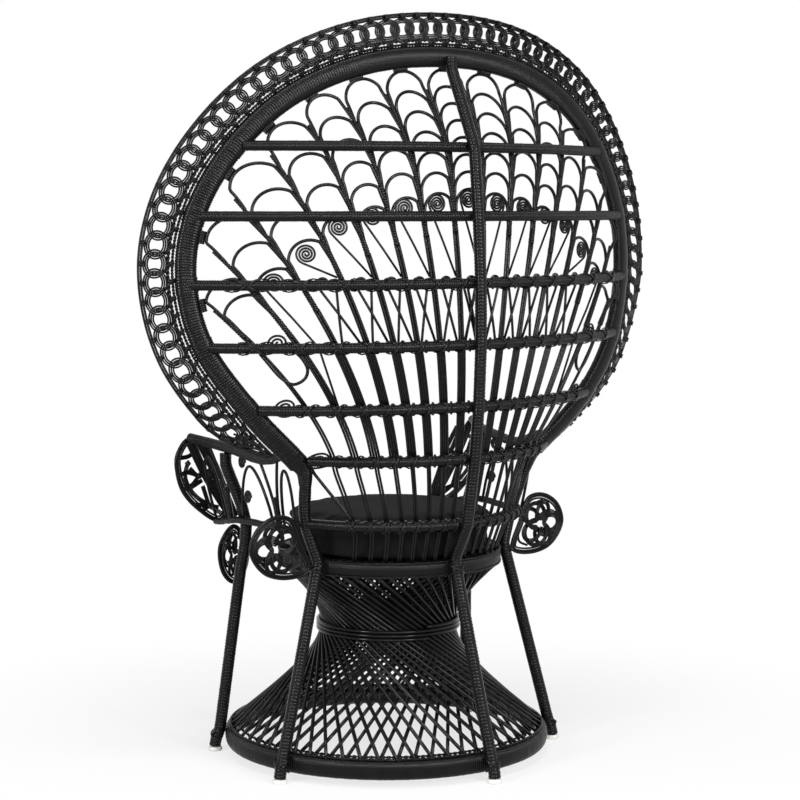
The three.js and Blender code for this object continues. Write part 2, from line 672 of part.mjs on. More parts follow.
// The spine stands behind the ribs. Its place at each rib depends on how it leans on either side.
function spinePath() {
  const spineFlat = flat(SPINE, POLE_SIDES);
  const top = point(0, hoopDepth(0) + HOOP_THICKNESS / 2 + spineFlat + CLEARANCE, hoopTop);
  const atRibs = ribHeights.map((z) => point(0, shellBack(z) + acrossRib(spineFlat, 0), z));
  const start = [above(centreTop, CLEARANCE), above(centreTop, GLIDE_HEIGHT)];
  const path = [...start, ...atRibs, above(top, -HOOP_WIDTH / 2), top];
  const passes = 6;
  for (let pass = 0; pass < passes; pass++) {
    for (let i = start.length; i < start.length + ribHeights.length; i++) {
      const [below, here, over] = [path[i - 1], path[i], path[i + 1]];
      const slopeBelow = (here.y - below.y) / (here.z - below.z);
      const slopeOver = (here.y - over.y) / (over.z - here.z);
      here.y = shellBack(here.z) + acrossRib(spineFlat, Math.max(0, slopeBelow, slopeOver));
    }
  }
  return path;
}

function buildSpineAndRibs() {
  const section = roundSection(SPINE, POLE_SIDES);
  add('back_spine', sweep(spinePath(), section, false, () => point(0, 1, 0)));
  ribHeights.forEach((z, n) => {
    add(`back_rib_${n + 1}`, sweep(ribPath(z), roundSection(RIB, RIB_SIDES), false, upward));
  });
}

// Fan: stems spread from the seat hoop to the back hoop, and rows of scallops arch from stem to stem.
const stemFlat = flat(STEM, STEM_SIDES);
const scallopFlat = (SCALLOP_CANE / 2) * Math.cos(Math.PI / 6);

// Point of the fan inside the ribs, a stem's own or one that lies a distance beyond the stem.
function fanPoint(place, z, beyond = 0) {
  const onShell = (height) => shellPoint(fanX(place, height), height);
  const lean = onShell(z + RIB).sub(onShell(z - RIB)).dot(arcNormal(onShell(z)));
  const slope = Math.abs(lean) / (2 * RIB);
  const inset = acrossRib(stemFlat + CLEARANCE / 2, slope) + beyond * Math.hypot(1, slope);
  return shellPoint(fanX(place, z), z, inset);
}

// Height of a scallop row, lowest where it crosses a stem.
function scallopHeight(row, place) {
  const arch = (Math.cos(place * Math.PI) ** 2 + SCALLOP_FOOT_SHARE) ** SCALLOP_ROUNDNESS;
  const rowHeight = SEAT_TOP + SCALLOP_RISE + SCALLOP_STEP * row;
  return rowHeight - SCALLOP_DROP * place ** 2 + SCALLOP_HEIGHT * arch;
}

function scallopPoint(row, place) {
  return fanPoint(place, scallopHeight(row, place), stemFlat + scallopFlat + 2 * CLEARANCE);
}

// Half length of a scallop row in stem places, as far as the hoop allows.
function scallopReach(row) {
  const fits = (place) => {
    const corner = scallopPoint(row, place);
    const inside = corner.x < shellEdge(Math.min(corner.z, hoopTop)).x;
    return inside && fromHoop(corner.x, corner.z) > HOOP_WIDTH / 2 + 2 * SCALLOP_CANE;
  };
  let reach = stemPlaces[0];
  while ([0.5, 0.75, 1].every((part) => fits(reach + part)) && reach < stemPlaces.at(-1)) {
    reach += 1;
  }
  return reach;
}

const scallopReaches = Array.from({ length: SCALLOP_ROWS }, (_, row) => scallopReach(row));

// A stem bends where it crosses each rib and each scallop row, and ends at the hoop's inner edge.
function stemPath(place) {
  const x = place * FAN_PITCH_AT_SEAT;
  const foot = point(x, SEAT_BACK + Math.sqrt(stemCircle ** 2 - x ** 2), SEAT_TOP + CLEARANCE);
  let end = SEAT_TOP;
  while (end < hoopTop && fromHoop(fanX(place, end), end) > HOOP_WIDTH / 2 + STEM) {
    end += CLEARANCE;
  }
  const rows = scallopReaches.flatMap((reach, row) => (place <= reach ? [scallopHeight(row, place)] : []));
  const crossings = [...ribHeights, ...rows].filter((z) => z < end - STEM).sort((a, b) => a - b);
  const levels = [...crossings.filter((z, i) => i === 0 || z - crossings[i - 1] > STEM), end];
  return [foot, above(foot, STEM), ...levels.map((z) => fanPoint(place, z))];
}

function buildFan() {
  const section = roundSection(STEM, STEM_SIDES);
  stemPlaces.forEach((place, n) => {
    add(`fan_stem_left_${n + 1}`, sweep(stemPath(place), section, false, alongArc));
    add(`fan_stem_right_${n + 1}`, sweep(mirrored(stemPath(place)), section, false, alongArc));
  });

  scallopReaches.forEach((reach, row) => {
    const steps = Math.round(2 * reach * SCALLOP_STEPS_PER_ARCH);
    const places = Array.from({ length: steps + 1 }, (_, i) => -reach + i / SCALLOP_STEPS_PER_ARCH);
    const path = places.map((place) => scallopPoint(row, place));
    add(`fan_scallops_${row + 1}`, sweep(path, roundSection(SCALLOP_CANE, SCALLOP_SIDES), false, arcNormal));
  });
}

// Arm lace: flat loops and strands that close the front and rear ends of the arm's outward roll
const backward = () => point(0, 1, 0);
const laceLoop = (outline, depth, origin, steps) => {
  const corners = outline.map(([out, up]) => point(origin.x + out, depth, origin.z + up));
  return smooth(corners, steps, true).slice(0, steps);
};

function buildLace(name, loops, strands, depth, origin, flip) {
  const rim = roundSection(LACE_RIM, LACE_RIM_SIDES);
  const pieces = loops.map((loop) => sweep(flip(loop), rim, true, backward));
  for (const strand of strands) {
    const path = strand.map(([out, up]) => point(origin.x + out, depth, origin.z + up));
    pieces.push(tube(flip(path), ARM_CANE, 4));
  }
  add(name, fuse(pieces));
}

const loopSteps = 14;
const frontLaceDepth = railFront.y - LACE_RIM / 2 - CLEARANCE;
const frontLeaf = laceLoop(FRONT_LEAF, frontLaceDepth, railTip, loopSteps);
const frontRing = laceLoop(FRONT_RING, frontLaceDepth, railTip, loopSteps);

// The rear lace stands against the outer side of the rear pole, at the depth the pole has at the seat.
const rearLaceDepth = sideUpper[0].y;
const rearTrial = laceLoop(REAR_LACE, rearLaceDepth, point(0, 0, SEAT_TOP), loopSteps);
const rearNearest = rearTrial.reduce((least, corner) => (corner.x < least.x ? corner : least));
const poleBeside = crossing(sidePolePath, 'z', rearNearest.z);
const rimFlat = flat(LACE_RIM, LACE_RIM_SIDES);
const rearLaceX = poleBeside.x + POLE / 2 + rimFlat + 3 * CLEARANCE - rearNearest.x;
const rearOrigin = point(rearLaceX, 0, SEAT_TOP);
const rearLoop = laceLoop(REAR_LACE, rearLaceDepth, rearOrigin, loopSteps);

// Lower arm rail: from the rear lace, past the outer side of the front pole, to the front lace
const lowerRailZ = SEAT_TOP + LOWER_RAIL_RISE;
const lowerRimZ = lowerRailZ + ARM_LOWER_RAIL / 2;
const rearRim = rearLoop.filter((corner) => Math.abs(corner.z - lowerRimZ) < 2 * LACE_RIM);
const rearRimPoint = rearRim.reduce((least, corner) => (corner.x < least.x ? corner : least));
const lowerStart = point(rearRimPoint.x, rearLaceDepth - LACE_RIM / 2 - CLEARANCE, rearRimPoint.z);
const lowerNeck = point(lowerStart.x, lowerStart.y - ARM_LOWER_RAIL / 2, lowerStart.z);
const frontPoleBeside = crossing(frontPolePath, 'z', lowerRailZ);
const besidePole = frontPoleBeside.x + (POLE + ARM_LOWER_RAIL) / 2 + 3 * CLEARANCE;
const lowerPass = point(besidePole, frontPoleBeside.y, lowerRailZ);
const lowestLeaf = frontLeaf.reduce((least, corner) => (corner.z < least.z ? corner : least));
const lowerEnd = point(lowestLeaf.x, frontLaceDepth + LACE_RIM / 2 + CLEARANCE, lowestLeaf.z);
const lowerTurn = point(lowerEnd.x, lowerEnd.y + ARM_LOWER_RAIL / 2, lowerEnd.z);
const lowerRailPath = [lowerStart, ...smooth([lowerNeck, lowerPass, lowerTurn], 10), lowerEnd];

// Arched cane between the lower rail and the arm rail, from one depth to another.
function armArch(from, to, height) {
  const steps = 8;
  return Array.from({ length: steps + 1 }, (_, i) => {
    const angle = (i / steps) * Math.PI;
    const depth = (from + to) / 2 + ((from - to) / 2) * Math.cos(angle);
    const [low, high] = [lowerRailPath, armRailPath].map((path) => crossing(path, 'y', depth));
    return low.lerp(high, height * Math.sin(angle));
  });
}

function buildArm(side, flip) {
  add(`arm_rail_${side}`, tube(flip([...armRailPath, railFront]), ARM_RAIL, ARM_RAIL_SIDES));
  const panel = [tube(flip(lowerRailPath), ARM_LOWER_RAIL, RIB_SIDES)];
  for (const [from, to, height] of ARM_ARCHES) {
    panel.push(tube(flip(armArch(from, to, height)), ARM_CANE, 4));
  }
  add(`arm_panel_${side}`, fuse(panel));
  buildLace(`arm_front_lace_${side}`, [frontLeaf, frontRing], FRONT_STRANDS, frontLaceDepth, railTip, flip);
  buildLace(`arm_rear_lace_${side}`, [rearLoop], REAR_STRANDS, rearLaceDepth, rearOrigin, flip);
}

buildBaseHoop();
buildPedestalFamily('pedestal_outer_canes', outerFamily);
buildPedestalFamily('pedestal_inner_canes', innerFamily);
buildWaistBinding();
buildSeat();
buildCushion();
buildPoles();
buildHoopAndBorder();
buildSpineAndRibs();
buildFan();
buildArm('left', same);
buildArm('right', mirrored);

// The origin is on the floor, under the middle of the chair's outline.
const box = new THREE.Box3().setFromObject(chair);
chair.position.y = -(box.min.y + box.max.y) / 2;

export default chair;
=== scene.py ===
"""Peacock chair: wound canes, woven border, fan with scrolls, lace arms and a stuffed cushion."""

import math

import bpy
import numpy as np
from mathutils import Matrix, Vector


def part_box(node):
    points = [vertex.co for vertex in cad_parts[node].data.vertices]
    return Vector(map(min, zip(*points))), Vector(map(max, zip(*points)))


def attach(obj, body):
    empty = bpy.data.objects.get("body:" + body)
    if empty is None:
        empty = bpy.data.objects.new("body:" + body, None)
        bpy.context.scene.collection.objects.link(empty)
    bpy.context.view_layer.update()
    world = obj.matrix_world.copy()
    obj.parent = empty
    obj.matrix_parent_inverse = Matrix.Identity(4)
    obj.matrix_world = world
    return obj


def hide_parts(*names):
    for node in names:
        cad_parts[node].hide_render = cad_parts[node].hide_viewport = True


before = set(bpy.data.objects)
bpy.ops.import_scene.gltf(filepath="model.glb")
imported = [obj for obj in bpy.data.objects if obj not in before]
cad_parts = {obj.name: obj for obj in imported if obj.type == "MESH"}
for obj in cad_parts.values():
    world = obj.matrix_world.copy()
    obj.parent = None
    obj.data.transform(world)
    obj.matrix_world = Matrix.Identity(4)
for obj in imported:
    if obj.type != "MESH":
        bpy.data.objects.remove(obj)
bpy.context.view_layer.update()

# Units: sizes below are in millimetres and degrees, and meshes are made in metres
MM = 0.001
BASE_MIDDLE_Y = sum(corner.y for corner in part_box("base_hoop")) / 2 / MM
ORIGIN = np.array([0.0, BASE_MIDDLE_Y, 0.0])


def mm_box(node):
    """Lowest and highest corner of a node in millimetres, measured from the middle of the base hoop."""
    return [np.array(corner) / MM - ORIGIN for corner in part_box(node)]


# Sizes: camera, as fitted to the photograph
CAMERA_PLACE = (2295, 3581, 1099)
CAMERA_TURN = 32.53
CAMERA_TILT = 5.20
CAMERA_LENS = 95.67
CAMERA_SHIFT = 0.0174
SENSOR_WIDTH = 36

# Light: strength of the world on matt surfaces, and the floor's share of white from near to far, in metres
PLAIN_LIGHT = 0.25
FLOOR_RADIUS = 14
FLOOR_GREY = 0.9
FLOOR_FADE = (0.35, 1.3)
FLOOR_WHITE = (0.72, 1)
# Lamps: turn from the camera's side, height, distance and size of the box in metres, and power in watts
LAMPS = {
    "strip_left": (40, 1.5, 3.4, (0.3, 2.4), 75),
    "strip_right": (-36, 1.5, 3.6, (0.3, 2.4), 60),
    "bar": (-22, 1.8, 3.6, (4.6, 0.14), 85),
    "overhead": (0, 3.4, 1.4, (1.2, 0.4), 36),
}
LAMP_AIM = np.array([0, 0, 0.75])

# Colours: the two ends of each range, as linear red, green and blue
WHITE = (1, 1, 1, 1)
LACQUER_TONES = [(0.002, 0.002, 0.0021, 1), (0.0045, 0.0044, 0.0042, 1)]
WORN_LACQUER = (0.007, 0.0066, 0.0062, 1)
CANVAS_TONES = [(0.0046, 0.0046, 0.005, 1), (0.0085, 0.0083, 0.0085, 1)]
GLIDE_TONES = [(0.62, 0.61, 0.58, 1), (0.76, 0.75, 0.72, 1)]

# Sizes: wound cane
WIND_PITCH = 5
WIND_DEPTH = 1.4
POLE_WIND_PITCH = 6.4
POLE_WIND_DEPTH = 1.1
TIE_CANE = 3.2
# Pitch of canes laid side by side, as a share of their thickness
BESIDE = 0.96
# A turn of winding is round on top and falls to a groove at both sides: shares of the pitch and of the depth
TURN_RUNS = np.array([0.0, 0.07, 0.2, 0.4, 0.6, 0.8, 0.93])
TURN_RISES = np.array([0.0, 0.6, 0.88, 0.99, 0.99, 0.88, 0.6])

# Sizes: base, pedestal and seat, read from the frame where the frame holds them
base_low, base_high = mm_box("base_hoop")
seat_low, seat_high = mm_box("seat_hoop")
deck_low, deck_high = mm_box("seat_deck")
cushion_low, cushion_high = mm_box("seat_cushion")
BASE_RADIUS = base_high[0]
BASE_THICKNESS = 24
SEAT_RADIUS = seat_high[0]
SEAT_THICKNESS = 25
SEAT_TOP = seat_high[2]
SEAT_BACK = (seat_low[1] + seat_high[1]) / 2
SEAT_BEAD = 6
PEDESTAL_CANES = 57
PEDESTAL_CANE = 7.5
WAIST_RADIUS = 134
BINDING_TURNS = 3
BINDING_CANE = 7
DECK_STRIP = 11.5
DECK_STRIP_WIDTH = 10.6
DECK_STRIP_THICKNESS = 2.2
DECK_WAVE = 1.6

# Sizes: back hoop, as way out and rise above the seat top. Depths are behind the seat's rear edge
HOOP_STATIONS = [
    (282, 195), (385, 292), (478, 422), (508, 557), (488, 674), (425, 785), (325, 880), (180, 944),
]
HOOP_RISE = 965
HOOP_WIDTH = 40
HOOP_THICKNESS = 22
HOOP_WRAP = 30
HOOP_SETBACK = -31
HOOP_BEND_RADIUS = 1377
HOOP_END_FORWARD = 45
HOOP_END_BEND_RISE = 380
HOOP_POINTS = 401
# Joint with the pole: runs along the hoop's end, and falls below it
JOINT_RUNS = [26, 10]
JOINT_FALLS = [14, 44]

# Sizes: border outside the hoop. It leans forward and narrows towards the hoop's ends
BORDER_WIDTH = 62
BORDER_START = 60
BORDER_LEAN = 0.9
BORDER_LEAN_RUN = 430
BORDER_TIP = 50
BORDER_TIP_SHARE = 0.15
BORDER_TAPER = 135
BORDER_LANES = 7
LANE_REACH = 82
LANE_STAGGER = 12
LANE_CANE = 4.4
BORDER_RINGS = 75
LEAST_RING = 30
RING_STRAND = 3.6
RING_OVERLAP = 0.3
RING_RISE = 3.4
RING_FROM_INNER = 7
RING_FROM_OUTER = 4
BORDER_CORD = 6.4
BORDER_ROPE = 8.4
BORDER_CANE = 4.6
STRAP_WIDTH = 6.5

# Sizes: ribs, spine, poles and glides
RIB = 18
RIB_WOUND = 20
RIB_END = 28
TIED_RIBS = 5
# Lift of the canes that wind one way and the other
RIB_TIE_LIFTS = {1: 1.2, -1: 2.2}
RIB_RISES = [73, 202, 303, 421, 537, 663, 792]
SPINE = 23
POLE = 24
GLIDE_PROFILE = [(0.3, 0), (11, 0), (13, 0.6), (14, 2), (14, 6), (13, 7.6), (11.5, 8.6), (0.3, 8.8)]

# Sizes: shell on which ribs and fan lie, as rise and depth of its middle
SHELL_STATIONS = [
    (0, -6), (73, 27), (202, 55), (382, 73), (537, 73), (663, 64), (792, 47), (945, -38),
]

# Sizes: fan. The pitch of its stems grows with height, and the outer ones spread further above the second rib
FAN_STEMS_PER_SIDE = 8
FAN_PITCH_AT_SEAT = 22.5
FAN_PITCH_SLOPE = 0.04
FAN_PITCH_BEND = 39
FAN_SPREAD = 0.244
FAN_TRUE_PLACE = 3.5
FAN_CANE = 6.4
SLAT_CANE = 4.6
BUNDLE_CANE = 4.8
BUNDLE = 4
STEM_WOUND = 10.5
STEM_TIP = 6
STEM_TIP_FALL = 16
FAN_INSET = RIB / 2 + 3

# Sizes: arches and scrolls between the stems, counted by gaps from the middle
SCALLOP_ROWS = 6
SCALLOP_ROUND = 0.46
SCALLOP_STEP = 32
SCALLOP_STEP_GROWTH = 3.5
LAST_ARCH_STEP = 26
HOOP_DRAW = 34
# Ties of the last arches to the hoop: those further out sit further back
HOOP_TIE = 14
HOOP_TIE_REACH = 13
HOOP_TIE_PITCH = 3.8
HOOP_TIE_FORWARD = 5
HOOP_TIE_LIFT = 1.7
ARCH_LEGS = np.array([36, 23, 11])
LEG_TUCK = np.array([1.5, 3.5, 5.2])
SCROLL_RISES = [694, 686, 678, 662, 643, 594, 541]
SCROLL_UNDER_ARCH = 12
SCROLL_CANE = 4.4
SCROLL_RADIUS = 18
SCROLL_TURNS = 3.3
SCROLL_EYE = 1.2
SMALL_SCROLL_RADIUS = 11
SMALL_SCROLL_TURNS = 2.4
LOW_SCROLL_RADIUS = 18
LOW_SCROLL_TURNS = 2.6
LOW_SCROLL_TAIL = np.array([24, 8])
LOW_SCROLLS = [(369, 430), (344, 308), (264, 203)]
HANGING_LOOP = [(396, 410), (357, 363), (338, 353), (321, 364), (318, 381), (328, 401), (340, 414)]
CORNER_CANE = [(272, 196), (237, 142), (198, 84)]

# Sizes: arms, as way out and way up. The front lace starts at the arm rail's tip, the rear one at its pole
FRONT_LEAF = [(0, -2), (27, -34), (27, -70), (15, -107), (-15, -142), (-67, -174), (-87, -158), (-45, -80)]
FRONT_RING = [(-101, -186), (-69, -226), (-77, -284), (-101, -304), (-129, -276), (-131, -220)]
FRONT_BUNDLES = [
    [(2, -9), (-32, -76), (-67, -132), (-95, -170)],
    [(-20, -8), (-47, -58), (-76, -120), (-104, -171)],
    [(-35, -14), (-62, -59), (-86, -117), (-108, -167)],
]
FRONT_STRANDS = [
    [(0, -49), (8, -75), (-2, -103), (-22, -125), (-48, -143), (-76, -160)],
    [(24, -40), (2, -38), (-14, -30)],
    [(24, -75), (4, -70), (-23, -79)],
    [(14, -105), (-8, -96), (-23, -79)],
    [(-2, -103), (-30, -88)],
    [(-10, -136), (-46, -141)],
    [(-32, -100), (-46, -141)],
    [(-22, -125), (-46, -141)],
    [(-46, -141), (-66, -146)],
    [(-30, -152), (-46, -141)],
    [(-58, -62), (-23, -79), (-2, -62)],
]
FRONT_KNOTS = [(-23, -79), (-46, -141), (2, -52), (-104, -240)]
FRONT_EYE = (-56, -80, 13)
RING_ROSETTE = (-101, -245, 22, 46)
REAR_LACE = [(40, 84), (76, 90), (114, 68), (128, 28), (98, -16), (44, -30), (0, -18), (19, 38)]
REAR_INNER = [(78, 78), (50, 68), (30, 44), (16, 16), (18, -4), (38, -14)]
REAR_ROSETTE = (70, 28, 46, 46)
ROSETTE_LOBES = (3, 5)
ROSETTE_MEAN = 0.62
ROSETTE_SWING = 0.38
ROSETTE_RISE = 3.4
LACE_RIM_CANE = 5.2
LACE_STRAND = 4
RIBBON_CANE = 3.2
# The arm panel's canes, as way back from the base middle and share of the height between its rails
PANEL_CANE = 6
ARM_RAIL = 19
LOWER_RAIL = 13
PANEL_TULIPS = [46, -120]
PANEL_TULIP_HEIGHT = 0.45
PANEL_TULIP_SPREAD = 28
PANEL_TULIP_STEM = 12
PANEL_ARCHES = [(28, -72, 0.84), (62, 116, 0.8), (-138, -186, 0.8)]
PANEL_DISCS = [(-50, 0.86), (-46, 0.36), (-100, 0.86)]
DISC_RADIUS = 13
DISC_EYE = 1.5
DISC_TURNS = 2.6

rng = np.random.default_rng(11)


# Camera and lamps
def add_camera():
    data = bpy.data.cameras.new("camera")
    data.lens = CAMERA_LENS
    data.sensor_width = SENSOR_WIDTH
    data.shift_x = CAMERA_SHIFT
    camera = bpy.data.objects.new("camera", data)
    bpy.context.scene.collection.objects.link(camera)
    camera.location = [value * MM for value in CAMERA_PLACE]
    camera.rotation_euler = (math.radians(90 - CAMERA_TILT), 0, math.radians(180 - CAMERA_TURN))
    bpy.context.scene.camera = camera


def add_lamp(name, turn, height, distance, size, power):
    """Soft box at a turn from the camera's own side, aimed at the middle of the chair."""
    data = bpy.data.lights.new(name, "AREA")
    data.shape = "RECTANGLE"
    data.size, data.size_y = size
    data.energy = power
    lamp = bpy.data.objects.new(name, data)
    bpy.context.scene.collection.objects.link(lamp)
    angle = math.radians(CAMERA_TURN + turn)
    place = np.array([math.sin(angle) * distance, math.cos(angle) * distance, height])
    lamp.location = place
    aim = LAMP_AIM - place
    yaw = math.atan2(aim[1], aim[0]) - math.pi / 2
    pitch = math.atan2(aim[2], math.hypot(aim[0], aim[1])) + math.pi / 2
    lamp.rotation_euler = (pitch, 0, yaw)


# Shader nodes, world and floor
def fill(tree, node, inputs):
    """Links each input of a node to a socket, or gives it a value."""
    for name, value in inputs.items():
        if isinstance(value, bpy.types.NodeSocket):
            tree.links.new(value, node.inputs[name])
        else:
            node.inputs[name].default_value = value


def add_node(tree, kind, inputs, **settings):
    node = tree.nodes.new("ShaderNode" + kind)
    for name, value in settings.items():
        setattr(node, name, value)
    fill(tree, node, inputs)
    return node


def own_place(tree):
    """Place of a point in its object's own space."""
    return add_node(tree, "TexCoord", {}).outputs["Object"]


def meets_white(tree):
    """One for rays from the camera, gloss or clear surfaces, which meet the white background."""
    path = add_node(tree, "LightPath", {})
    seen = path.outputs["Is Camera Ray"]
    for kind in ("Is Glossy Ray", "Is Transmission Ray"):
        seen = add_node(tree, "Math", {0: seen, 1: path.outputs[kind]}, operation="MAXIMUM").outputs[0]
    return seen


def add_world():
    """White to the camera, gloss and clear surfaces, and a plain grey light to everything else."""
    world = bpy.data.worlds.new("studio")
    bpy.context.scene.world = world
    world.use_nodes = True
    tree = world.node_tree
    tree.nodes.clear()
    plain = add_node(tree, "Background", {"Color": WHITE, "Strength": PLAIN_LIGHT})
    white = add_node(tree, "Background", {"Color": WHITE, "Strength": 1})
    mix = add_node(tree, "MixShader", {"Fac": meets_white(tree), 1: plain.outputs[0], 2: white.outputs[0]})
    add_node(tree, "OutputWorld", {"Surface": mix.outputs[0]})


def new_material(name):
    material = bpy.data.materials.new(name)
    material.use_nodes = True
    return material, material.node_tree


def map_range(tree, source, before, after, **settings):
    """Turns one range of values into another."""
    inputs = {"Value": source}
    inputs["From Min"], inputs["From Max"] = before
    inputs["To Min"], inputs["To Max"] = after
    return add_node(tree, "MapRange", inputs, **settings).outputs["Result"]


def add_floor():
    """Pale floor that fades to the white background and keeps the chair's soft shadow."""
    material, tree = new_material("floor_white")
    tree.nodes.clear()
    diffuse = add_node(tree, "BsdfDiffuse", {"Color": (FLOOR_GREY, FLOOR_GREY, FLOOR_GREY, 1)})
    glow = add_node(tree, "Emission", {"Color": WHITE})
    distance = add_node(tree, "VectorMath", {0: own_place(tree)}, operation="LENGTH").outputs["Value"]
    fade = map_range(tree, distance, FLOOR_FADE, FLOOR_WHITE, interpolation_type="SMOOTHSTEP")
    share = add_node(tree, "Math", {0: meets_white(tree), 1: fade}, operation="MULTIPLY")
    mix = add_node(tree, "MixShader", {"Fac": share.outputs[0], 1: diffuse.outputs[0], 2: glow.outputs[0]})
    add_node(tree, "OutputMaterial", {"Surface": mix.outputs[0]})
    bpy.ops.mesh.primitive_circle_add(
        vertices=96, radius=FLOOR_RADIUS, fill_type="NGON", location=(0, 0, -0.0005),
    )
    floor = bpy.context.object
    floor.name = "floor"
    floor.data.materials.append(material)


# Materials
def noise(tree, scale, detail=3, stretch=None):
    """Noise texture in the chair's own space, stretched along its axes where asked."""
    place = own_place(tree)
    if stretch:
        place = add_node(tree, "Mapping", {"Vector": place, "Scale": stretch}).outputs["Vector"]
    return add_node(tree, "TexNoise", {"Vector": place, "Scale": scale, "Detail": detail}).outputs["Fac"]


def ramp(tree, source, places, colours):
    """Colour ramp between two colours, each at a place."""
    node = add_node(tree, "ValToRGB", {"Fac": source})
    for element, place, colour in zip(node.color_ramp.elements, places, colours):
        element.position = place
        element.color = colour
    return node.outputs["Color"]


def bump(tree, height, strength, distance):
    inputs = {"Height": height, "Strength": strength, "Distance": distance}
    return add_node(tree, "Bump", inputs).outputs["Normal"]


def lacquer_material():
    """Black lacquer over cane: brown shows faintly on worn ridges, and the gloss varies along the cane."""
    material, tree = new_material("black_lacquered_rattan")
    tone = ramp(tree, noise(tree, 34, 4), (0.3, 0.75), LACQUER_TONES)
    ridge = add_node(tree, "NewGeometry", {}).outputs["Pointiness"]
    worn = ramp(tree, ridge, (0.54, 0.64), [(0, 0, 0, 1), WHITE])
    mix = add_node(tree, "Mix", {"Factor": worn, "A": tone, "B": WORN_LACQUER}, data_type="RGBA")
    fill(tree, tree.nodes["Principled BSDF"], {
        "Base Color": mix.outputs["Result"],
        "Roughness": map_range(tree, noise(tree, 60), (0, 1), (0.11, 0.2)),
        "Specular IOR Level": 0.15,
        "Normal": bump(tree, noise(tree, 900), 0.25, 0.0004),
    })
    return material


def fabric_material():
    """Charcoal canvas: a fine plain weave with a slight slub and a soft sheen."""
    material, tree = new_material("charcoal_canvas")
    slub = noise(tree, 120, 4, (1, 6, 1))
    waves = {"Vector": own_place(tree), "Scale": 210, "Distortion": 0.6}
    warp = add_node(tree, "TexWave", waves, bands_direction="X").outputs["Fac"]
    weft = add_node(tree, "TexWave", waves, bands_direction="Y").outputs["Fac"]
    threads = add_node(tree, "Math", {0: warp, 1: weft}, operation="MAXIMUM").outputs[0]
    fill(tree, tree.nodes["Principled BSDF"], {
        "Base Color": ramp(tree, slub, (0.3, 0.75), CANVAS_TONES),
        "Roughness": 0.92,
        "Specular IOR Level": 0.08,
        "Sheen Weight": 0.02,
        "Sheen Roughness": 0.5,
        "Normal": bump(tree, threads, 0.4, 0.0006),
    })
    return material


def plastic_material():
    """Pale moulded plastic with scuffs."""
    material, tree = new_material("pale_glide_plastic")
    scuff = noise(tree, 90, 5)
    fill(tree, tree.nodes["Principled BSDF"], {
        "Base Color": ramp(tree, scuff, (0.35, 0.7), GLIDE_TONES),
        "Roughness": map_range(tree, scuff, (0, 1), (0.45, 0.7)),
        "Normal": bump(tree, noise(tree, 700, 2), 0.15, 0.0003),
    })
    return material


# Paths. A path is an array of points, one row each, in millimetres
def unit(vectors):
    return vectors / np.maximum(np.linalg.norm(vectors, axis=-1, keepdims=True), 1e-9)


def along(path):
    """Distance run along a path, at each of its points."""
    return np.concatenate([[0], np.cumsum(np.linalg.norm(np.diff(path, axis=0), axis=1))])


def points_at(path, measure, levels):
    """Points of a path where a measure that grows along it reaches given levels."""
    return np.stack([np.interp(levels, measure, path[:, axis]) for axis in range(3)], axis=-1)


def at_runs(path, runs):
    """Points of a path at distances run along it."""
    return points_at(path, along(path), runs)


def even(path, count):
    return at_runs(path, np.linspace(0, along(path)[-1], count))


def smooth(points, count, closed=False):
    """Centripetal spline through the points, as evenly spaced points."""
    points = np.asarray(points, float)
    if closed:
        padded = np.vstack([points[-1], points, points[:2]])
    else:
        padded = np.vstack([2 * points[0] - points[1], points, 2 * points[-1] - points[-2]])
    share = np.linspace(0, 1, 24, endpoint=False)[:, None]
    dense = []
    for a, b, c, d in zip(padded[:-3], padded[1:-2], padded[2:-1], padded[3:]):
        gaps = [max(math.sqrt(np.linalg.norm(q - p)), 1e-6) for p, q in ((a, b), (b, c), (c, d))]
        start = (b - a) / gaps[0] - (c - a) / (gaps[0] + gaps[1]) + (c - b) / gaps[1]
        finish = (c - b) / gaps[1] - (d - b) / (gaps[1] + gaps[2]) + (d - c) / gaps[2]
        start, finish = start * gaps[1], finish * gaps[1]
        square = 3 * (c - b) - 2 * start - finish
        cube = 2 * (b - c) + start + finish
        dense.append(b + start * share + square * share ** 2 + cube * share ** 3)
    dense = np.vstack([*dense, padded[-2][None]])
    if closed:
        return even(dense, count + 1)[:-1]
    return even(dense, count)


def xyz(x, y, z):
    """Points from three measures, any of which may be one number for all."""
    return np.stack(np.broadcast_arrays(x, y, z), axis=-1).astype(float)


def polar(radius, degrees, z, middle_y=0.0):
    """Point on a level circle. Degrees are turned from the back towards the sitter's left."""
    angle = np.radians(degrees)
    return xyz(radius * np.sin(angle), middle_y + radius * np.cos(angle), z)


def circle(radius, z, count, middle_y=0.0):
    return polar(radius, np.arange(count) * 360 / count, z, middle_y)


def lengthened(path, reach):
    """A path run on straight at both ends."""
    first = path[0] + unit(path[0] - path[1]) * reach
    last = path[-1] + unit(path[-1] - path[-2]) * reach
    return np.vstack([first, path, last])


def at_level(path, z):
    """Point of a rising path at a height."""
    return points_at(path, path[:, 2], z)


def centreline(node, axis, count, margin, low_only=None):
    """Middle of a frame node's section, or of its lowest part, at evenly spaced levels of one axis."""
    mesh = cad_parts[node].data
    corners = np.array([vertex.co for vertex in mesh.vertices]) / MM - ORIGIN
    edges = np.array([edge.vertices for edge in mesh.edges])
    start, finish = corners[edges[:, 0]], corners[edges[:, 1]]
    low, high = corners[:, axis].min() + margin, corners[:, axis].max() - margin
    middles = []
    for level in np.linspace(low, high, count):
        crosses = (start[:, axis] - level) * (finish[:, axis] - level) < 0
        a, b = start[crosses], finish[crosses]
        share = (level - a[:, axis]) / (b[:, axis] - a[:, axis])
        cut = a + (b - a) * share[:, None]
        if low_only:
            cut = cut[cut[:, 2] < cut[:, 2].min() + low_only]
        middles.append((cut.min(0) + cut.max(0)) / 2)
    return lengthened(np.array(middles), margin)


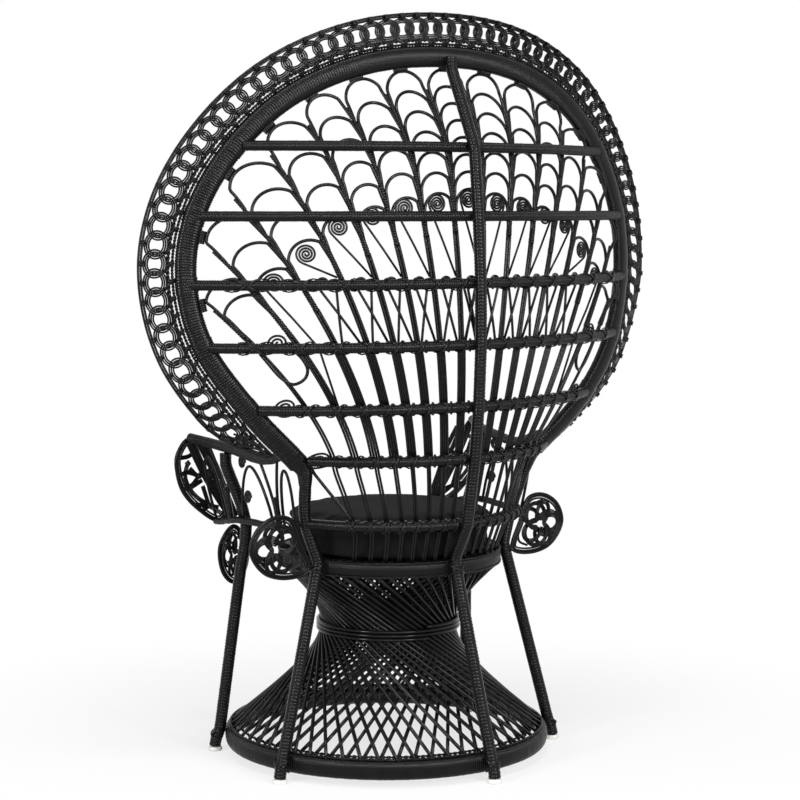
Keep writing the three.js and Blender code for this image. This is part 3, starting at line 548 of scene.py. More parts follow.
# Sections: corners of a cane's or band's cross-section, across it and out from it
def round_section(diameter, sides):
    angle = (np.arange(sides) + 0.5) * 2 * np.pi / sides
    return np.stack([np.cos(angle), np.sin(angle)], axis=1) * diameter / 2


def band_section(width, thickness, power=3.0, sides=20):
    """Rounded band: a circle squared off by a power."""
    angle = (np.arange(sides) + 0.5) * 2 * np.pi / sides
    cosine, sine = np.cos(angle), np.sin(angle)
    across = np.sign(cosine) * np.abs(cosine) ** (2 / power) * width / 2
    out = np.sign(sine) * np.abs(sine) ** (2 / power) * thickness / 2
    return np.stack([across, out], axis=1)


class Weave:
    """Swept canes gathered into one mesh."""

    def __init__(self):
        self.corners, self.quads, self.triangles, self.count = [], [], [], 0

    def sweep(self, path, section, closed=False, facing=None, grow=None):
        """Carries a section along a path. Facing is the way out, and grow swells it ring by ring."""
        path = np.asarray(path, float)
        if closed:
            ahead = np.roll(path, -1, 0) - np.roll(path, 1, 0)
        else:
            ahead = np.gradient(path, axis=0)
        ahead = unit(ahead)
        if facing is None:
            out = carried(ahead)
        else:
            out = np.broadcast_to(np.asarray(facing, float), path.shape)
            out = unit(out - ahead * (out * ahead).sum(1, keepdims=True))
        across = np.cross(ahead, out)
        flat = np.broadcast_to(section, (len(path), *section.shape[-2:]))
        if grow is not None:
            flat = flat + unit(flat) * np.asarray(grow)[:, None, None]
        rings = path[:, None] + across[:, None] * flat[..., :1] + out[:, None] * flat[..., 1:]
        self.rings(rings, closed)

    def rings(self, rings, closed=False):
        """Joins rings of corners, each to the next, and closes both ends of an open row."""
        steps, sides = rings.shape[:2]
        index = self.count + np.arange(steps * sides).reshape(steps, sides)
        here, after = (index, np.roll(index, -1, 0)) if closed else (index[:-1], index[1:])
        beside, beside_after = np.roll(here, -1, 1), np.roll(after, -1, 1)
        self.quads.append(np.stack([here, after, beside_after, beside], axis=-1).reshape(-1, 4))
        self.corners.append(rings.reshape(-1, 3))
        self.count += steps * sides
        if not closed:
            self.corners.append(np.stack([rings[0].mean(0), rings[-1].mean(0)]))
            first, last = index[0], index[-1]
            start = np.stack([np.full(sides, self.count), first, np.roll(first, -1)], axis=1)
            finish = np.stack([np.full(sides, self.count + 1), np.roll(last, -1), last], axis=1)
            self.triangles += [start, finish]
            self.count += 2

    def lathe(self, profile, x, y, sides):
        """Turned form: a profile of radius and height, carried round an upright axis."""
        angles = np.linspace(0, 2 * np.pi, sides, endpoint=False)
        rings = [[(x + r * math.sin(a), y + r * math.cos(a), z) for a in angles] for r, z in profile]
        self.rings(np.array(rings))

    def cane(self, path, diameter, sides=8, closed=False):
        self.sweep(path, round_section(diameter, sides), closed)

    def wind(self, path, section, pitch=WIND_PITCH, depth=WIND_DEPTH, closed=False, facing=None, into=None):
        """A core wound edge to edge with flat cane. Its section may change into another along the way."""
        if closed:
            path = np.vstack([path, path[:1]])
        length = along(path)[-1]
        turns = max(int(length / pitch), 2)
        runs = np.append((np.arange(turns)[:, None] + TURN_RUNS).ravel(), turns) * length / turns
        fine = at_runs(path, runs)
        uneven = np.repeat(rng.uniform(0.8, 1.1, turns), len(TURN_RUNS))
        swell = np.append(np.tile(TURN_RISES, turns) * uneven, 0.0)
        grow = depth * (swell - 0.5)
        if into is not None:
            section = section + (into - section) * np.linspace(0, 1, len(runs))[:, None, None]
        if facing is not None and np.ndim(facing) > 1:
            facing = points_at(facing, along(path), runs)
        if closed:
            facing = facing[:-1] if np.ndim(facing) > 1 else facing
            self.sweep(fine[:-1], section, True, facing, grow[:-1])
        else:
            self.sweep(fine, section, False, facing, grow)

    def rope(self, path, diameter, lay, closed=False, strands=2):
        """Thin canes twisted round each other."""
        whole = np.vstack([path, path[:1]]) if closed else path
        turns = max(round(along(whole)[-1] / lay), 1)
        fine = even(whole, turns * 8 + 1)
        ahead = unit(np.gradient(fine, axis=0))
        out = carried(ahead)
        across = np.cross(ahead, out)
        angle = np.arange(len(fine)) / 8 * 2 * np.pi
        for strand in range(strands):
            turn = (angle + strand * 2 * np.pi / strands)[:, None]
            line = fine + (out * np.cos(turn) + across * np.sin(turn)) * diameter / 4
            self.cane(line, diameter / 1.9, 6)

    def tie(self, middle, axis, radius, turns=3, cane=TIE_CANE):
        """Short tight winding of thin cane round whatever passes through a point along an axis."""
        axis = unit(np.asarray(axis, float))
        side = unit(np.cross(axis, [0.3, 0.5, 0.81]))
        other = np.cross(axis, side)
        angle = np.linspace(0, turns * 2 * np.pi, int(turns * 10) + 1)
        rise = (angle / (2 * np.pi) - turns / 2) * cane * 0.95
        line = middle + radius * (side * np.cos(angle)[:, None] + other * np.sin(angle)[:, None])
        self.cane(line + axis * rise[:, None], cane, 6)

    def cross_tie(self, middle, axis, out, radius, span):
        """Two thin canes that cross over a rail, seen from its outer side."""
        axis, out = unit(np.asarray(axis, float)), np.asarray(out, float)
        out = unit(out - axis * (out @ axis))
        side = np.cross(axis, out)
        turn = np.linspace(-1, 1, 13)[:, None]
        angle = turn * math.radians(115)
        for lean, lift in ((1, 0.0), (-1, TIE_CANE * 0.4)):
            reach = radius + lift
            line = middle + out * np.cos(angle) * reach + side * np.sin(angle) * reach
            line = line + axis * lean * turn * span / 2
            self.sweep(line, band_section(TIE_CANE * 1.4, TIE_CANE * 0.7, 2.4, 8), False, line - middle)

    def ribbon(self, path, side, cane, count, lift=0.0):
        """Canes laid side by side along a path. Side is the way across the ribbon's face."""
        path = np.asarray(path, float)
        ahead = unit(np.gradient(path, axis=0))
        across = unit(np.cross(ahead, side))
        for n in range(count):
            beside = across * (n - (count - 1) / 2) * cane * BESIDE
            self.cane(path + beside + np.asarray(side) * lift, cane, 6)

    def mirrored(self):
        """The same canes on the other side of the chair."""
        other = Weave()
        other.corners = [corner * [-1, 1, 1] for corner in self.corners]
        other.quads = [quad[:, ::-1] for quad in self.quads]
        other.triangles = [triangle[:, ::-1] for triangle in self.triangles]
        other.count = self.count
        return other

    def mesh(self, name):
        mesh = bpy.data.meshes.new(name)
        corners = (np.vstack(self.corners) + ORIGIN) * MM
        triangles = np.vstack(self.triangles) if self.triangles else np.zeros((0, 3), int)
        quads = np.vstack(self.quads)
        mesh.vertices.add(len(corners))
        mesh.vertices.foreach_set("co", corners.ravel())
        loops = np.concatenate([quads.ravel(), triangles.ravel()])
        mesh.loops.add(len(loops))
        mesh.loops.foreach_set("vertex_index", loops)
        starts = np.concatenate([np.arange(len(quads)) * 4, len(quads) * 4 + np.arange(len(triangles)) * 3])
        mesh.polygons.add(len(starts))
        mesh.polygons.foreach_set("loop_start", starts)
        mesh.polygons.foreach_set("use_smooth", np.ones(len(starts), bool))
        mesh.update(calc_edges=True)
        mesh.validate()
        return mesh


def carried(ahead):
    """A way out at each point of a path, carried along it without twisting."""
    start = np.array([0, 0, 1.0]) if abs(ahead[0][2]) < 0.9 else np.array([0, 1.0, 0])
    out = np.zeros_like(ahead)
    current = start
    for i, tangent in enumerate(ahead):
        current = current - tangent * (current @ tangent)
        current = current / max(math.sqrt(current @ current), 1e-9)
        out[i] = current
    return out


def piece(name, weave, material, stands_for=(), body="chair"):
    """Makes a mesh piece of the chair, which rides on a body and may stand for frame nodes."""
    shown = bpy.data.objects.new(name, weave if isinstance(weave, bpy.types.Mesh) else weave.mesh(name))
    bpy.context.scene.collection.objects.link(shown)
    shown.data.materials.append(material)
    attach(shown, body)
    if stands_for:
        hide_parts(*stands_for)
    return shown


def stand_in(node, ending, weave):
    """Lacquered piece in a frame node's place, named after it."""
    piece(f"{node}_{ending}", weave, lacquer, stands_for=[node])


add_camera()
add_world()
add_floor()
for lamp_name, lamp_values in LAMPS.items():
    add_lamp(lamp_name, *lamp_values)
bpy.context.scene.view_settings.view_transform = "Standard"

lacquer = lacquer_material()
fabric = fabric_material()
plastic = plastic_material()


# Base hoop and pedestal
def outward_of(path, middle_y=0.0):
    return np.asarray(path, float) - [0, middle_y, 0] - np.array([0, 0, 1.0]) * np.asarray(path)[:, 2:]


def build_base():
    weave = Weave()
    height = base_high[2] - base_low[2]
    ring = circle(BASE_RADIUS - BASE_THICKNESS / 2, (base_low[2] + base_high[2]) / 2, 360)
    around = outward_of(np.vstack([ring, ring[:1]]))
    weave.wind(ring, band_section(height - 1, BASE_THICKNESS - 1, 2.6, 18), closed=True, facing=around)
    stand_in("base_hoop", "winding", weave)


def pedestal_cane_paths(foot, waist, head, lean):
    """Straight canes between two level circles, which narrow to a waist where the canes are closest."""
    twist = lean * math.degrees(math.acos(waist / foot) + math.acos(waist / head))
    angles = (np.arange(PEDESTAL_CANES) + 0.5) * 360 / PEDESTAL_CANES
    low = polar(foot, angles, base_high[2] - 3)
    high = polar(head, angles + twist, seat_low[2] + 3, SEAT_BACK)
    return np.stack([low, high], axis=1)


FOOT_WIDTH = 1.75 * PEDESTAL_CANE
OUTER_FOOT = BASE_RADIUS - PEDESTAL_CANE / 2 - FOOT_WIDTH / 2
INNER_FOOT = OUTER_FOOT - FOOT_WIDTH - 0.6 * PEDESTAL_CANE
OUTER_HEAD = SEAT_RADIUS - FOOT_WIDTH / 2
INNER_HEAD = OUTER_HEAD - FOOT_WIDTH - PEDESTAL_CANE / 6
INNER_WAIST = WAIST_RADIUS - 1.5 * PEDESTAL_CANE


def build_pedestal():
    families = {
        "outer": pedestal_cane_paths(OUTER_FOOT, WAIST_RADIUS, OUTER_HEAD, 1),
        "inner": pedestal_cane_paths(INNER_FOOT, INNER_WAIST, INNER_HEAD, -1),
    }
    for name, canes in families.items():
        weave = Weave()
        for ends in canes:
            weave.cane(even(ends, 12), PEDESTAL_CANE, 8)
        foot = OUTER_FOOT if name == "outer" else INNER_FOOT
        weave.rope(circle(foot, base_high[2] + 2, 240), 6, 22, closed=True)
        piece(f"pedestal_{name}_cane_set", weave, lacquer, stands_for=[f"pedestal_{name}_canes"])


def build_waist_binding():
    low, high = mm_box("waist_binding")
    radius = (high[0] - low[0] - BINDING_CANE) / 2
    middle_y = (low[1] + high[1]) / 2
    turn = np.arange(BINDING_TURNS * 64 + 1) / 64
    climb = (high[2] - low[2] - BINDING_CANE) / BINDING_TURNS
    rise = low[2] + BINDING_CANE / 2 + turn * climb
    weave = Weave()
    weave.cane(polar(radius, turn * 360, rise, middle_y), BINDING_CANE, 10)
    stand_in("waist_binding", "cane", weave)


# Seat hoop with its beads, and the woven deck
def build_seat_hoop():
    weave = Weave()
    middle = (seat_low[2] + seat_high[2]) / 2
    ring = circle(SEAT_RADIUS - SEAT_THICKNESS / 2, middle, 300, SEAT_BACK)
    around = outward_of(np.vstack([ring, ring[:1]]), SEAT_BACK)
    section = band_section(seat_high[2] - seat_low[2] - SEAT_BEAD, SEAT_THICKNESS - 3, 4, 18)
    weave.wind(ring, section, closed=True, facing=around)
    for height in (seat_low[2] + SEAT_BEAD / 2, seat_high[2] - SEAT_BEAD / 2):
        weave.rope(circle(SEAT_RADIUS - SEAT_BEAD / 2, height, 240, SEAT_BACK), SEAT_BEAD, 15, closed=True)
    stand_in("seat_hoop", "winding", weave)


def build_seat_deck():
    """Flat strips in two directions, over and under each other."""
    weave = Weave()
    radius = deck_high[0]
    middle = (deck_low[2] + deck_high[2]) / 2
    section = band_section(DECK_STRIP_WIDTH, DECK_STRIP_THICKNESS, 3, 8)
    reach = int(radius / DECK_STRIP)
    for turned in (False, True):
        for lane in range(-reach, reach + 1):
            half = math.sqrt(max(radius ** 2 - (lane * DECK_STRIP) ** 2, 1))
            run = np.linspace(-half, half, max(int(half / 2.9), 4))
            wave = DECK_WAVE * np.sin(np.pi * (run / DECK_STRIP + lane + 0.5)) * (1 if turned else -1)
            side = lane * DECK_STRIP
            x, y = (side, run) if turned else (run, side)
            weave.sweep(xyz(x, y + SEAT_BACK, middle + wave), section, False, (0, 0, 1))
    stand_in("seat_deck", "weave", weave)


# Cushion: stuffed by a cloth simulation, with a piped seam round its top and bottom edges
CUSHION_SWELL = 0.006
CUSHION_VOXEL = 0.005
CUSHION_PIPE = 6.5


def cushion_mesh():
    """Round boxed cushion, a little smaller than the space it fills."""
    radius = cushion_high[0] - 3
    low, high = cushion_low[2] + 1, cushion_high[2] - 6
    edge = high - 12
    rim = [(radius - 8, low), (radius, low + 8), (radius - 4, (low + edge) / 2), (radius, edge - 4)]
    crown = [(radius * math.cos(a), edge + 12 * math.sin(a)) for a in np.linspace(0.15, np.pi / 2, 12)[:-1]]
    profile = [(0.5, low), (radius / 2, low), *rim, *crown, (0.5, high)]
    weave = Weave()
    weave.lathe(profile, 0, SEAT_BACK, 96)
    return weave.mesh("cushion_shape")


def stuff(cushion):
    """Blows the cushion up as cloth, and caps how far any point moves."""
    bpy.context.view_layer.objects.active = cushion
    cushion.data.remesh_voxel_size = CUSHION_VOXEL
    bpy.ops.object.voxel_remesh()
    count = len(cushion.data.vertices)
    before = np.zeros(count * 3)
    cushion.data.vertices.foreach_get("co", before)
    cloth = cushion.modifiers.new("stuffing", "CLOTH")
    cloth.settings.quality = 6
    cloth.settings.use_pressure = True
    cloth.settings.uniform_pressure_force = 4
    cloth.settings.effector_weights.gravity = 0
    cloth.settings.tension_stiffness = 25
    cloth.settings.compression_stiffness = 15
    scene = bpy.context.scene
    for step in range(1, 21):
        scene.frame_set(step)
    shown = cushion.evaluated_get(bpy.context.evaluated_depsgraph_get())
    after = np.zeros(count * 3)
    shown.data.vertices.foreach_get("co", after)
    move = (after - before).reshape(-1, 3)
    length = np.linalg.norm(move, axis=1, keepdims=True)
    move *= np.minimum(1, CUSHION_SWELL / np.maximum(length, 1e-9))
    settled = before.reshape(-1, 3) + move
    settled[:, 2] = np.maximum(settled[:, 2], cushion_low[2] * MM)
    cushion.modifiers.remove(cloth)
    scene.frame_set(1)
    cushion.data.vertices.foreach_set("co", settled.ravel())
    cushion.data.update()


def build_cushion():
    mesh = cushion_mesh()
    cushion = piece("seat_cushion_cover", mesh, fabric, ["seat_cushion"], "cushion")
    cushion.select_set(True)
    stuff(cushion)
    subdivision = cushion.modifiers.new("finer", "SUBSURF")
    subdivision.levels = subdivision.render_levels = 1
    for polygon in cushion.data.polygons:
        polygon.use_smooth = True
    co = np.array([vertex.co for vertex in cushion.data.vertices]) / MM - ORIGIN
    reach = np.hypot(co[:, 0], co[:, 1] - SEAT_BACK)
    weave = Weave()
    for height in (cushion_low[2] + 9, cushion_high[2] - 21):
        near = np.abs(co[:, 2] - height) < 4
        radius = reach[near].max() - 1
        weave.cane(circle(radius, height, 128, SEAT_BACK), CUSHION_PIPE, 8, closed=True)
    piece("seat_cushion_piping", weave, fabric, (), "cushion")


# Back hoop, seen flat from the front and bent to a wide arc seen from above. Its ends come forward
RIB_HEIGHTS = [SEAT_TOP + rise for rise in RIB_RISES]
SEAT_REAR = SEAT_BACK + SEAT_RADIUS
HOOP_TOP = SEAT_TOP + HOOP_RISE
hoop_left = [(x, 0, SEAT_TOP + rise) for x, rise in HOOP_STATIONS]
hoop_right = [(-x, y, z) for x, y, z in reversed(hoop_left)]
hoop_line = smooth([*hoop_left, (0, 0, HOOP_TOP), *hoop_right], HOOP_POINTS)
left_half = hoop_line[:HOOP_POINTS // 2 + 1]
HOOP_END_Z = hoop_line[0][2]
hoop_runs = along(hoop_line)
HOOP_LENGTH = hoop_runs[-1]
hoop_tangent = unit(np.gradient(hoop_line, axis=0))
pole_line = centreline("leg_rear_left", 2, 90, 4)


def end_bend(z):
    """Share of the hoop ends' bend forward, which grows below a height."""
    return np.maximum(0, SEAT_TOP + HOOP_END_BEND_RISE - z) / (HOOP_END_BEND_RISE - HOOP_STATIONS[0][1])


def hoop_depth(x, z):
    return SEAT_REAR + HOOP_SETBACK - x ** 2 / (2 * HOOP_BEND_RADIUS) - HOOP_END_FORWARD * end_bend(z) ** 2


def bend_normal(points):
    fall = -2 * HOOP_END_FORWARD * end_bend(points[:, 2]) / (HOOP_END_BEND_RISE - HOOP_STATIONS[0][1])
    return unit(xyz(points[:, 0] / HOOP_BEND_RADIUS, 1, fall))


def by_hoop(run, offset=0.0, lift=0.0):
    """Points beside the hoop: run along it, offset outwards in its plane, lift towards the back."""
    run, offset, lift = np.broadcast_arrays(np.asarray(run, float), offset, lift)
    x, z = (np.interp(run, hoop_runs, hoop_line[:, axis]) for axis in (0, 2))
    tangent_x, tangent_z = (np.interp(run, hoop_runs, hoop_tangent[:, axis]) for axis in (0, 2))
    x, z = x + tangent_z * offset, z - tangent_x * offset
    points = xyz(x, hoop_depth(x, z), z)
    return points + bend_normal(points) * lift[:, None]


def build_hoop():
    weave = Weave()
    path = by_hoop(np.linspace(0, HOOP_LENGTH, 500))
    band = band_section(HOOP_WIDTH, HOOP_THICKNESS, 2.5, 20)
    weave.wind(path, band, facing=bend_normal(path))
    stand_in("back_hoop", "winding", weave)

    weave = Weave()
    below = [at_level(pole_line, HOOP_END_Z - fall) for fall in JOINT_FALLS]
    joint = smooth([*by_hoop(JOINT_RUNS), *below], 16)
    for side in (1, -1):
        path = joint * [side, 1, 1]
        weave.wind(path, band, facing=bend_normal(path), into=round_section(POLE, 20))
    wrap = band_section(HOOP_WIDTH + 2, HOOP_THICKNESS + 2, 2.5, 20)
    for z in RIB_HEIGHTS[2:]:
        run = float(np.interp(z, left_half[:, 2], hoop_runs[:len(left_half)]))
        for middle in (run, HOOP_LENGTH - run):
            path = by_hoop(np.linspace(middle - HOOP_WRAP / 2, middle + HOOP_WRAP / 2, 8))
            weave.wind(path, wrap, facing=bend_normal(path))
    piece("back_hoop_wraps", weave, lacquer)


# Border outside the hoop: two rails, a chain of rings between them, and plain canes at its narrow ends
INNER_RAIL = HOOP_WIDTH / 2 + 4.5
OUTER_RAIL = HOOP_WIDTH / 2 + BORDER_WIDTH - 3.5


def border_span(run):
    """Distance between the border's rails, narrower towards the hoop's ends."""
    from_tip = np.clip((np.minimum(run, HOOP_LENGTH - run) - BORDER_TIP) / BORDER_TAPER, 0, 1)
    taper = np.sin(from_tip * np.pi / 2)
    return (OUTER_RAIL - INNER_RAIL) * (BORDER_TIP_SHARE + (1 - BORDER_TIP_SHARE) * taper)


def by_border(run, offset, lift=0.0):
    """Points of the border, which leans forward towards the hoop's ends."""
    run = np.asarray(run, float)
    lean = BORDER_LEAN * np.clip(1 - np.minimum(run, HOOP_LENGTH - run) / BORDER_LEAN_RUN, 0, 1)
    return by_hoop(run, offset, lift - lean * (offset - HOOP_WIDTH / 2))


def border_runs():
    return np.linspace(BORDER_START, HOOP_LENGTH - BORDER_START, BORDER_RINGS + 1)


def border_tie(weave, run, offset, radius, turns):
    """Tie round what runs along the border at an offset from the hoop."""
    ends = by_border([run - 2, run + 2], offset)
    weave.tie(ends.mean(0), ends[1] - ends[0], radius, turns)


def border_ring(weave, run, span, pitch):
    """Ring of three canes, which rises over one neighbour and dips under the other."""
    across = (span - RING_FROM_INNER - RING_FROM_OUTER) / 2
    middle = INNER_RAIL + RING_FROM_INNER + across
    reach = (0.5 + RING_OVERLAP) * pitch
    turn = np.linspace(0, 2 * np.pi, 40, endpoint=False)
    for strand in range(3):
        inset = RING_STRAND * (strand + 0.5)
        ring_run = run + (reach - inset) * np.cos(turn)
        ring_offset = middle + (across - inset) * np.sin(turn)
        ring = by_border(ring_run, ring_offset, RING_RISE * np.cos(turn))
        weave.cane(ring, RING_STRAND, 6, closed=True)


def border_strap(weave, run, pitch):
    """Flat strap that slants from a ring to the hoop, and is tied down there."""
    tied = run + 0.05 * pitch
    runs = np.linspace(run - 0.45 * pitch, tied, 8)
    offsets = np.linspace(INNER_RAIL + 13, INNER_RAIL + 1, 8)
    strap = by_border(runs, offsets, np.linspace(-1, 3, 8))
    weave.sweep(strap, band_section(STRAP_WIDTH, 2.4, 3, 8), False, bend_normal(strap))
    border_tie(weave, tied, INNER_RAIL + 2, STRAP_WIDTH, 2)


def border_ends(weave):
    """Canes that sway side by side along the border's narrow ends."""
    for lane in range(BORDER_LANES):
        run = np.linspace(BORDER_TIP, BORDER_TIP + LANE_REACH - LANE_STAGGER * (lane % 3), 40)
        sway = run / 7 + 2.1 * lane
        share = (lane + 0.5) / BORDER_LANES + 0.1 * np.sin(sway)
        for at in (run, HOOP_LENGTH - run):
            weave.cane(by_border(at, INNER_RAIL + border_span(at) * share, 3 * np.cos(sway)), LANE_CANE)


def build_border():
    inner, outer, odd, even_rings = (Weave() for _ in range(4))
    fine = np.linspace(BORDER_TIP, HOOP_LENGTH - BORDER_TIP, 440)
    inner.rope(by_border(fine, INNER_RAIL - 1.4), BORDER_CORD, 12)
    inner.rope(by_border(fine, INNER_RAIL + np.minimum(6.4, border_span(fine) / 2)), BORDER_ROPE, 18)
    for beside in (-2.2, 2.2):
        outer.cane(by_border(fine, INNER_RAIL + border_span(fine) + beside), BORDER_CANE)
    knots = border_runs()
    pitch = knots[1] - knots[0]
    for number, run in enumerate((knots[:-1] + knots[1:]) / 2):
        span = border_span(np.array(run))
        if span >= LEAST_RING:
            border_ring(even_rings if number % 2 else odd, run, span, pitch)
            border_tie(outer, run, INNER_RAIL + span - 2, 5.6, 3)
            border_strap(inner, run, pitch)
    border_ends(inner)
    stand_in("border_inner_rail", "canes", inner)
    stand_in("border_outer_rail", "canes", outer)
    piece("border_rings_odd", odd, lacquer, stands_for=["border_wave_front"])
    piece("border_rings_even", even_rings, lacquer, stands_for=["border_wave_rear"])


# Poles and spine, wound over their straight and bent runs
POLES = ("rear_left", "rear_right", "rear_centre", "front_left", "front_right")


def build_poles():
    for name in POLES:
        weave = Weave()
        path = centreline(f"leg_{name}", 2, 60, 4)
        section = round_section(POLE - 1, 14)
        weave.wind(path, section, POLE_WIND_PITCH, POLE_WIND_DEPTH, facing=outward_of(path))
        tied = [(base_low[2] + base_high[2]) / 2]
        if name.startswith("rear"):
            tied.append((seat_low[2] + seat_high[2]) / 2)
        for z in tied:
            middle = at_level(path, z)
            weave.cross_tie(middle, (0, 0, 1), outward_of(middle[None])[0], POLE / 2 + 1.2, 26)
        stand_in(f"leg_{name}", "winding", weave)
    weave = Weave()
    path = centreline("back_spine", 2, 120, 4)
    weave.wind(path, round_section(SPINE - 1, 14), POLE_WIND_PITCH, POLE_WIND_DEPTH, facing=(0, 1, 0))
    stand_in("back_spine", "winding", weave)


def build_glides():
    for name in POLES:
        low, high = mm_box(f"glide_{name}")
        x, y = (low[:2] + high[:2]) / 2
        weave = Weave()
        weave.lathe(GLIDE_PROFILE, x, y, 40)
        piece(f"glide_{name}_cap", weave, plastic, [f"glide_{name}"])


# Shell of the back, on which ribs and fan lie
shell_curve = smooth([(0, SEAT_REAR + depth, SEAT_TOP + rise) for rise, depth in SHELL_STATIONS], 161)


def shell_edge(z):
    """Where the shell's arc ends at a height: on the hoop or, below it, on the side pole."""
    x = np.interp(z, left_half[:, 2], left_half[:, 0])
    pole_x, pole_y = (np.interp(z, pole_line[:, 2], pole_line[:, axis]) for axis in (0, 1))
    low = z < HOOP_END_Z
    return np.where(low, pole_x, x), np.where(low, pole_y, hoop_depth(x, z))


def shell_arc(z):
    back = np.interp(z, shell_curve[:, 2], shell_curve[:, 1])
    edge_x, edge_y = shell_edge(z)
    drop = np.maximum(back - edge_y, 1)
    radius = (edge_x ** 2 + drop ** 2) / (2 * drop)
    return radius, back - radius


def on_shell(x, z, inset=0.0):
    """Points of the shell, moved in by inset towards the sitter."""
    x, z, inset = np.broadcast_arrays(np.asarray(x, float), np.asarray(z, float), inset)
    radius, middle_y = shell_arc(z)
    angle = np.arcsin(np.clip(x / radius, -1, 1))
    reach = radius - inset
    return xyz(np.sin(angle) * reach, middle_y + np.cos(angle) * reach, z)


def shell_normal(points):
    middle_y = shell_arc(points[:, 2])[1]
    return unit(xyz(points[:, 0], points[:, 1] - middle_y, 0))


def fan_x(place, z):
    """Distance of a place in the fan from the middle at a height. Places count stems from the middle."""
    rise = np.asarray(z, float) - SEAT_TOP
    pitch = FAN_PITCH_AT_SEAT + FAN_PITCH_SLOPE * rise + FAN_PITCH_BEND * (rise / HOOP_RISE) ** 2
    climb = np.maximum(0, (rise - RIB_RISES[1]) / (HOOP_RISE - RIB_RISES[1]))
    beyond = np.maximum(0, np.abs(place) - FAN_TRUE_PLACE)
    return (place + np.sign(place) * FAN_SPREAD * climb * beyond ** 2) * pitch


def on_fan(place, z, inset=FAN_INSET, beside=0.0):
    """Points of the fan at a place, or beside it along the arc."""
    return on_shell(fan_x(place, z) + beside, z, inset)


def from_hoop(x, z):
    """Distance from the hoop's centreline, seen from the front, and less than nothing outside it."""
    away = np.hypot(hoop_line[:, 0] - x, hoop_line[:, 2] - z)
    nearest = int(away.argmin())
    tangent = hoop_tangent[nearest]
    outward = (x - hoop_line[nearest][0]) * tangent[2] - (z - hoop_line[nearest][2]) * tangent[0]
    return -away[nearest] if outward > 0 else away[nearest]


stem_places = np.arange(FAN_STEMS_PER_SIDE) + 0.5


def build_ribs():
    """Wound ribs. Two thin canes run along the lower ones, and cross over every stem."""
    ties = Weave()
    places = np.linspace(-FAN_STEMS_PER_SIDE, FAN_STEMS_PER_SIDE, 12 * 2 * FAN_STEMS_PER_SIDE + 1)
    for number, z in enumerate(RIB_HEIGHTS, 1):
        weave = Weave()
        path = lengthened(centreline(f"back_rib_{number}", 0, 90, RIB), RIB_END)
        weave.wind(path, round_section(RIB_WOUND - 1, 12), WIND_PITCH, facing=(0, 0, 1))
        stand_in(f"back_rib_{number}", "winding", weave)
        if number > TIED_RIBS:
            continue
        x = fan_x(places, z)
        kept = np.abs(x) < path[:, 0].max() - 2 * RIB
        x, turn = x[kept], 2 * np.pi * (places[kept] - 0.5)
        middle = xyz(x, np.interp(x, path[:, 0], path[:, 1]), z)
        out = shell_normal(middle)
        for hand, lift in RIB_TIE_LIFTS.items():
            around = out * np.cos(turn)[:, None] + hand * np.array([0, 0, 1.0]) * np.sin(turn)[:, None]
            line = middle + around * (RIB_WOUND / 2 + lift)
            ties.sweep(line, band_section(TIE_CANE * 1.5, TIE_CANE * 0.8, 2.4, 8), False, around)
    piece("rib_cross_ties", ties, lacquer)


# Arches between the stems: each gap has a row of them, of which the last touches the hoop
def arch_radius(place, foot):
    return SCALLOP_ROUND * (fan_x(place + 0.5, foot) - fan_x(place - 0.5, foot))


def arch_middle(place, foot):
    return fan_x(place + 0.5, foot) - FAN_CANE - arch_radius(place, foot)


def top_foot(place):
    """Height of the foot of the arch that touches the hoop's inner edge."""
    for foot in np.arange(HOOP_TOP, SEAT_TOP, -2.0):
        room = from_hoop(arch_middle(place, foot), foot) - arch_radius(place, foot)
        if room > HOOP_WIDTH / 2 + FAN_CANE / 2:
            return foot


TOP_FEET = [top_foot(place) for place in range(FAN_STEMS_PER_SIDE)]


def arch_feet(place):
    top = TOP_FEET[place]
    if place >= len(SCROLL_RISES):
        return np.array([top - LAST_ARCH_STEP, top])
    low = SEAT_TOP + SCROLL_RISES[place] - SCROLL_UNDER_ARCH
    steps = max(round((top - low) / (SCALLOP_STEP + SCALLOP_STEP_GROWTH * place)), 1)
    return np.linspace(low, top, steps + 1)


def arch_over(place, foot):
    """Round part of an arch, from the outer stem to the inner, as distance from the middle and height."""
    angle = np.radians(np.linspace(0, 165, 34))
    x = arch_middle(place, foot) + arch_radius(place, foot) * np.cos(angle)
    z = foot + arch_radius(place, foot) * np.sin(angle)
    kept = x > fan_x(place - 0.5, z) + FAN_CANE
    return x[kept], z[kept]


def arch_line(place, foot):
    """A whole arch: its legs run down beside both stems."""
    x, z = arch_over(place, foot)
    outer, inner = foot - ARCH_LEGS, z[-1] - ARCH_LEGS[::-1]
    outer_leg = fan_x(place + 0.5, outer) - LEG_TUCK
    inner_leg = fan_x(place - 0.5, inner) + LEG_TUCK[::-1]
    x = np.concatenate([outer_leg, x, inner_leg])
    z = np.concatenate([outer, z, inner])
    line = smooth(xyz(x, 0, z), 48)
    return line[:, 0], line[:, 2]


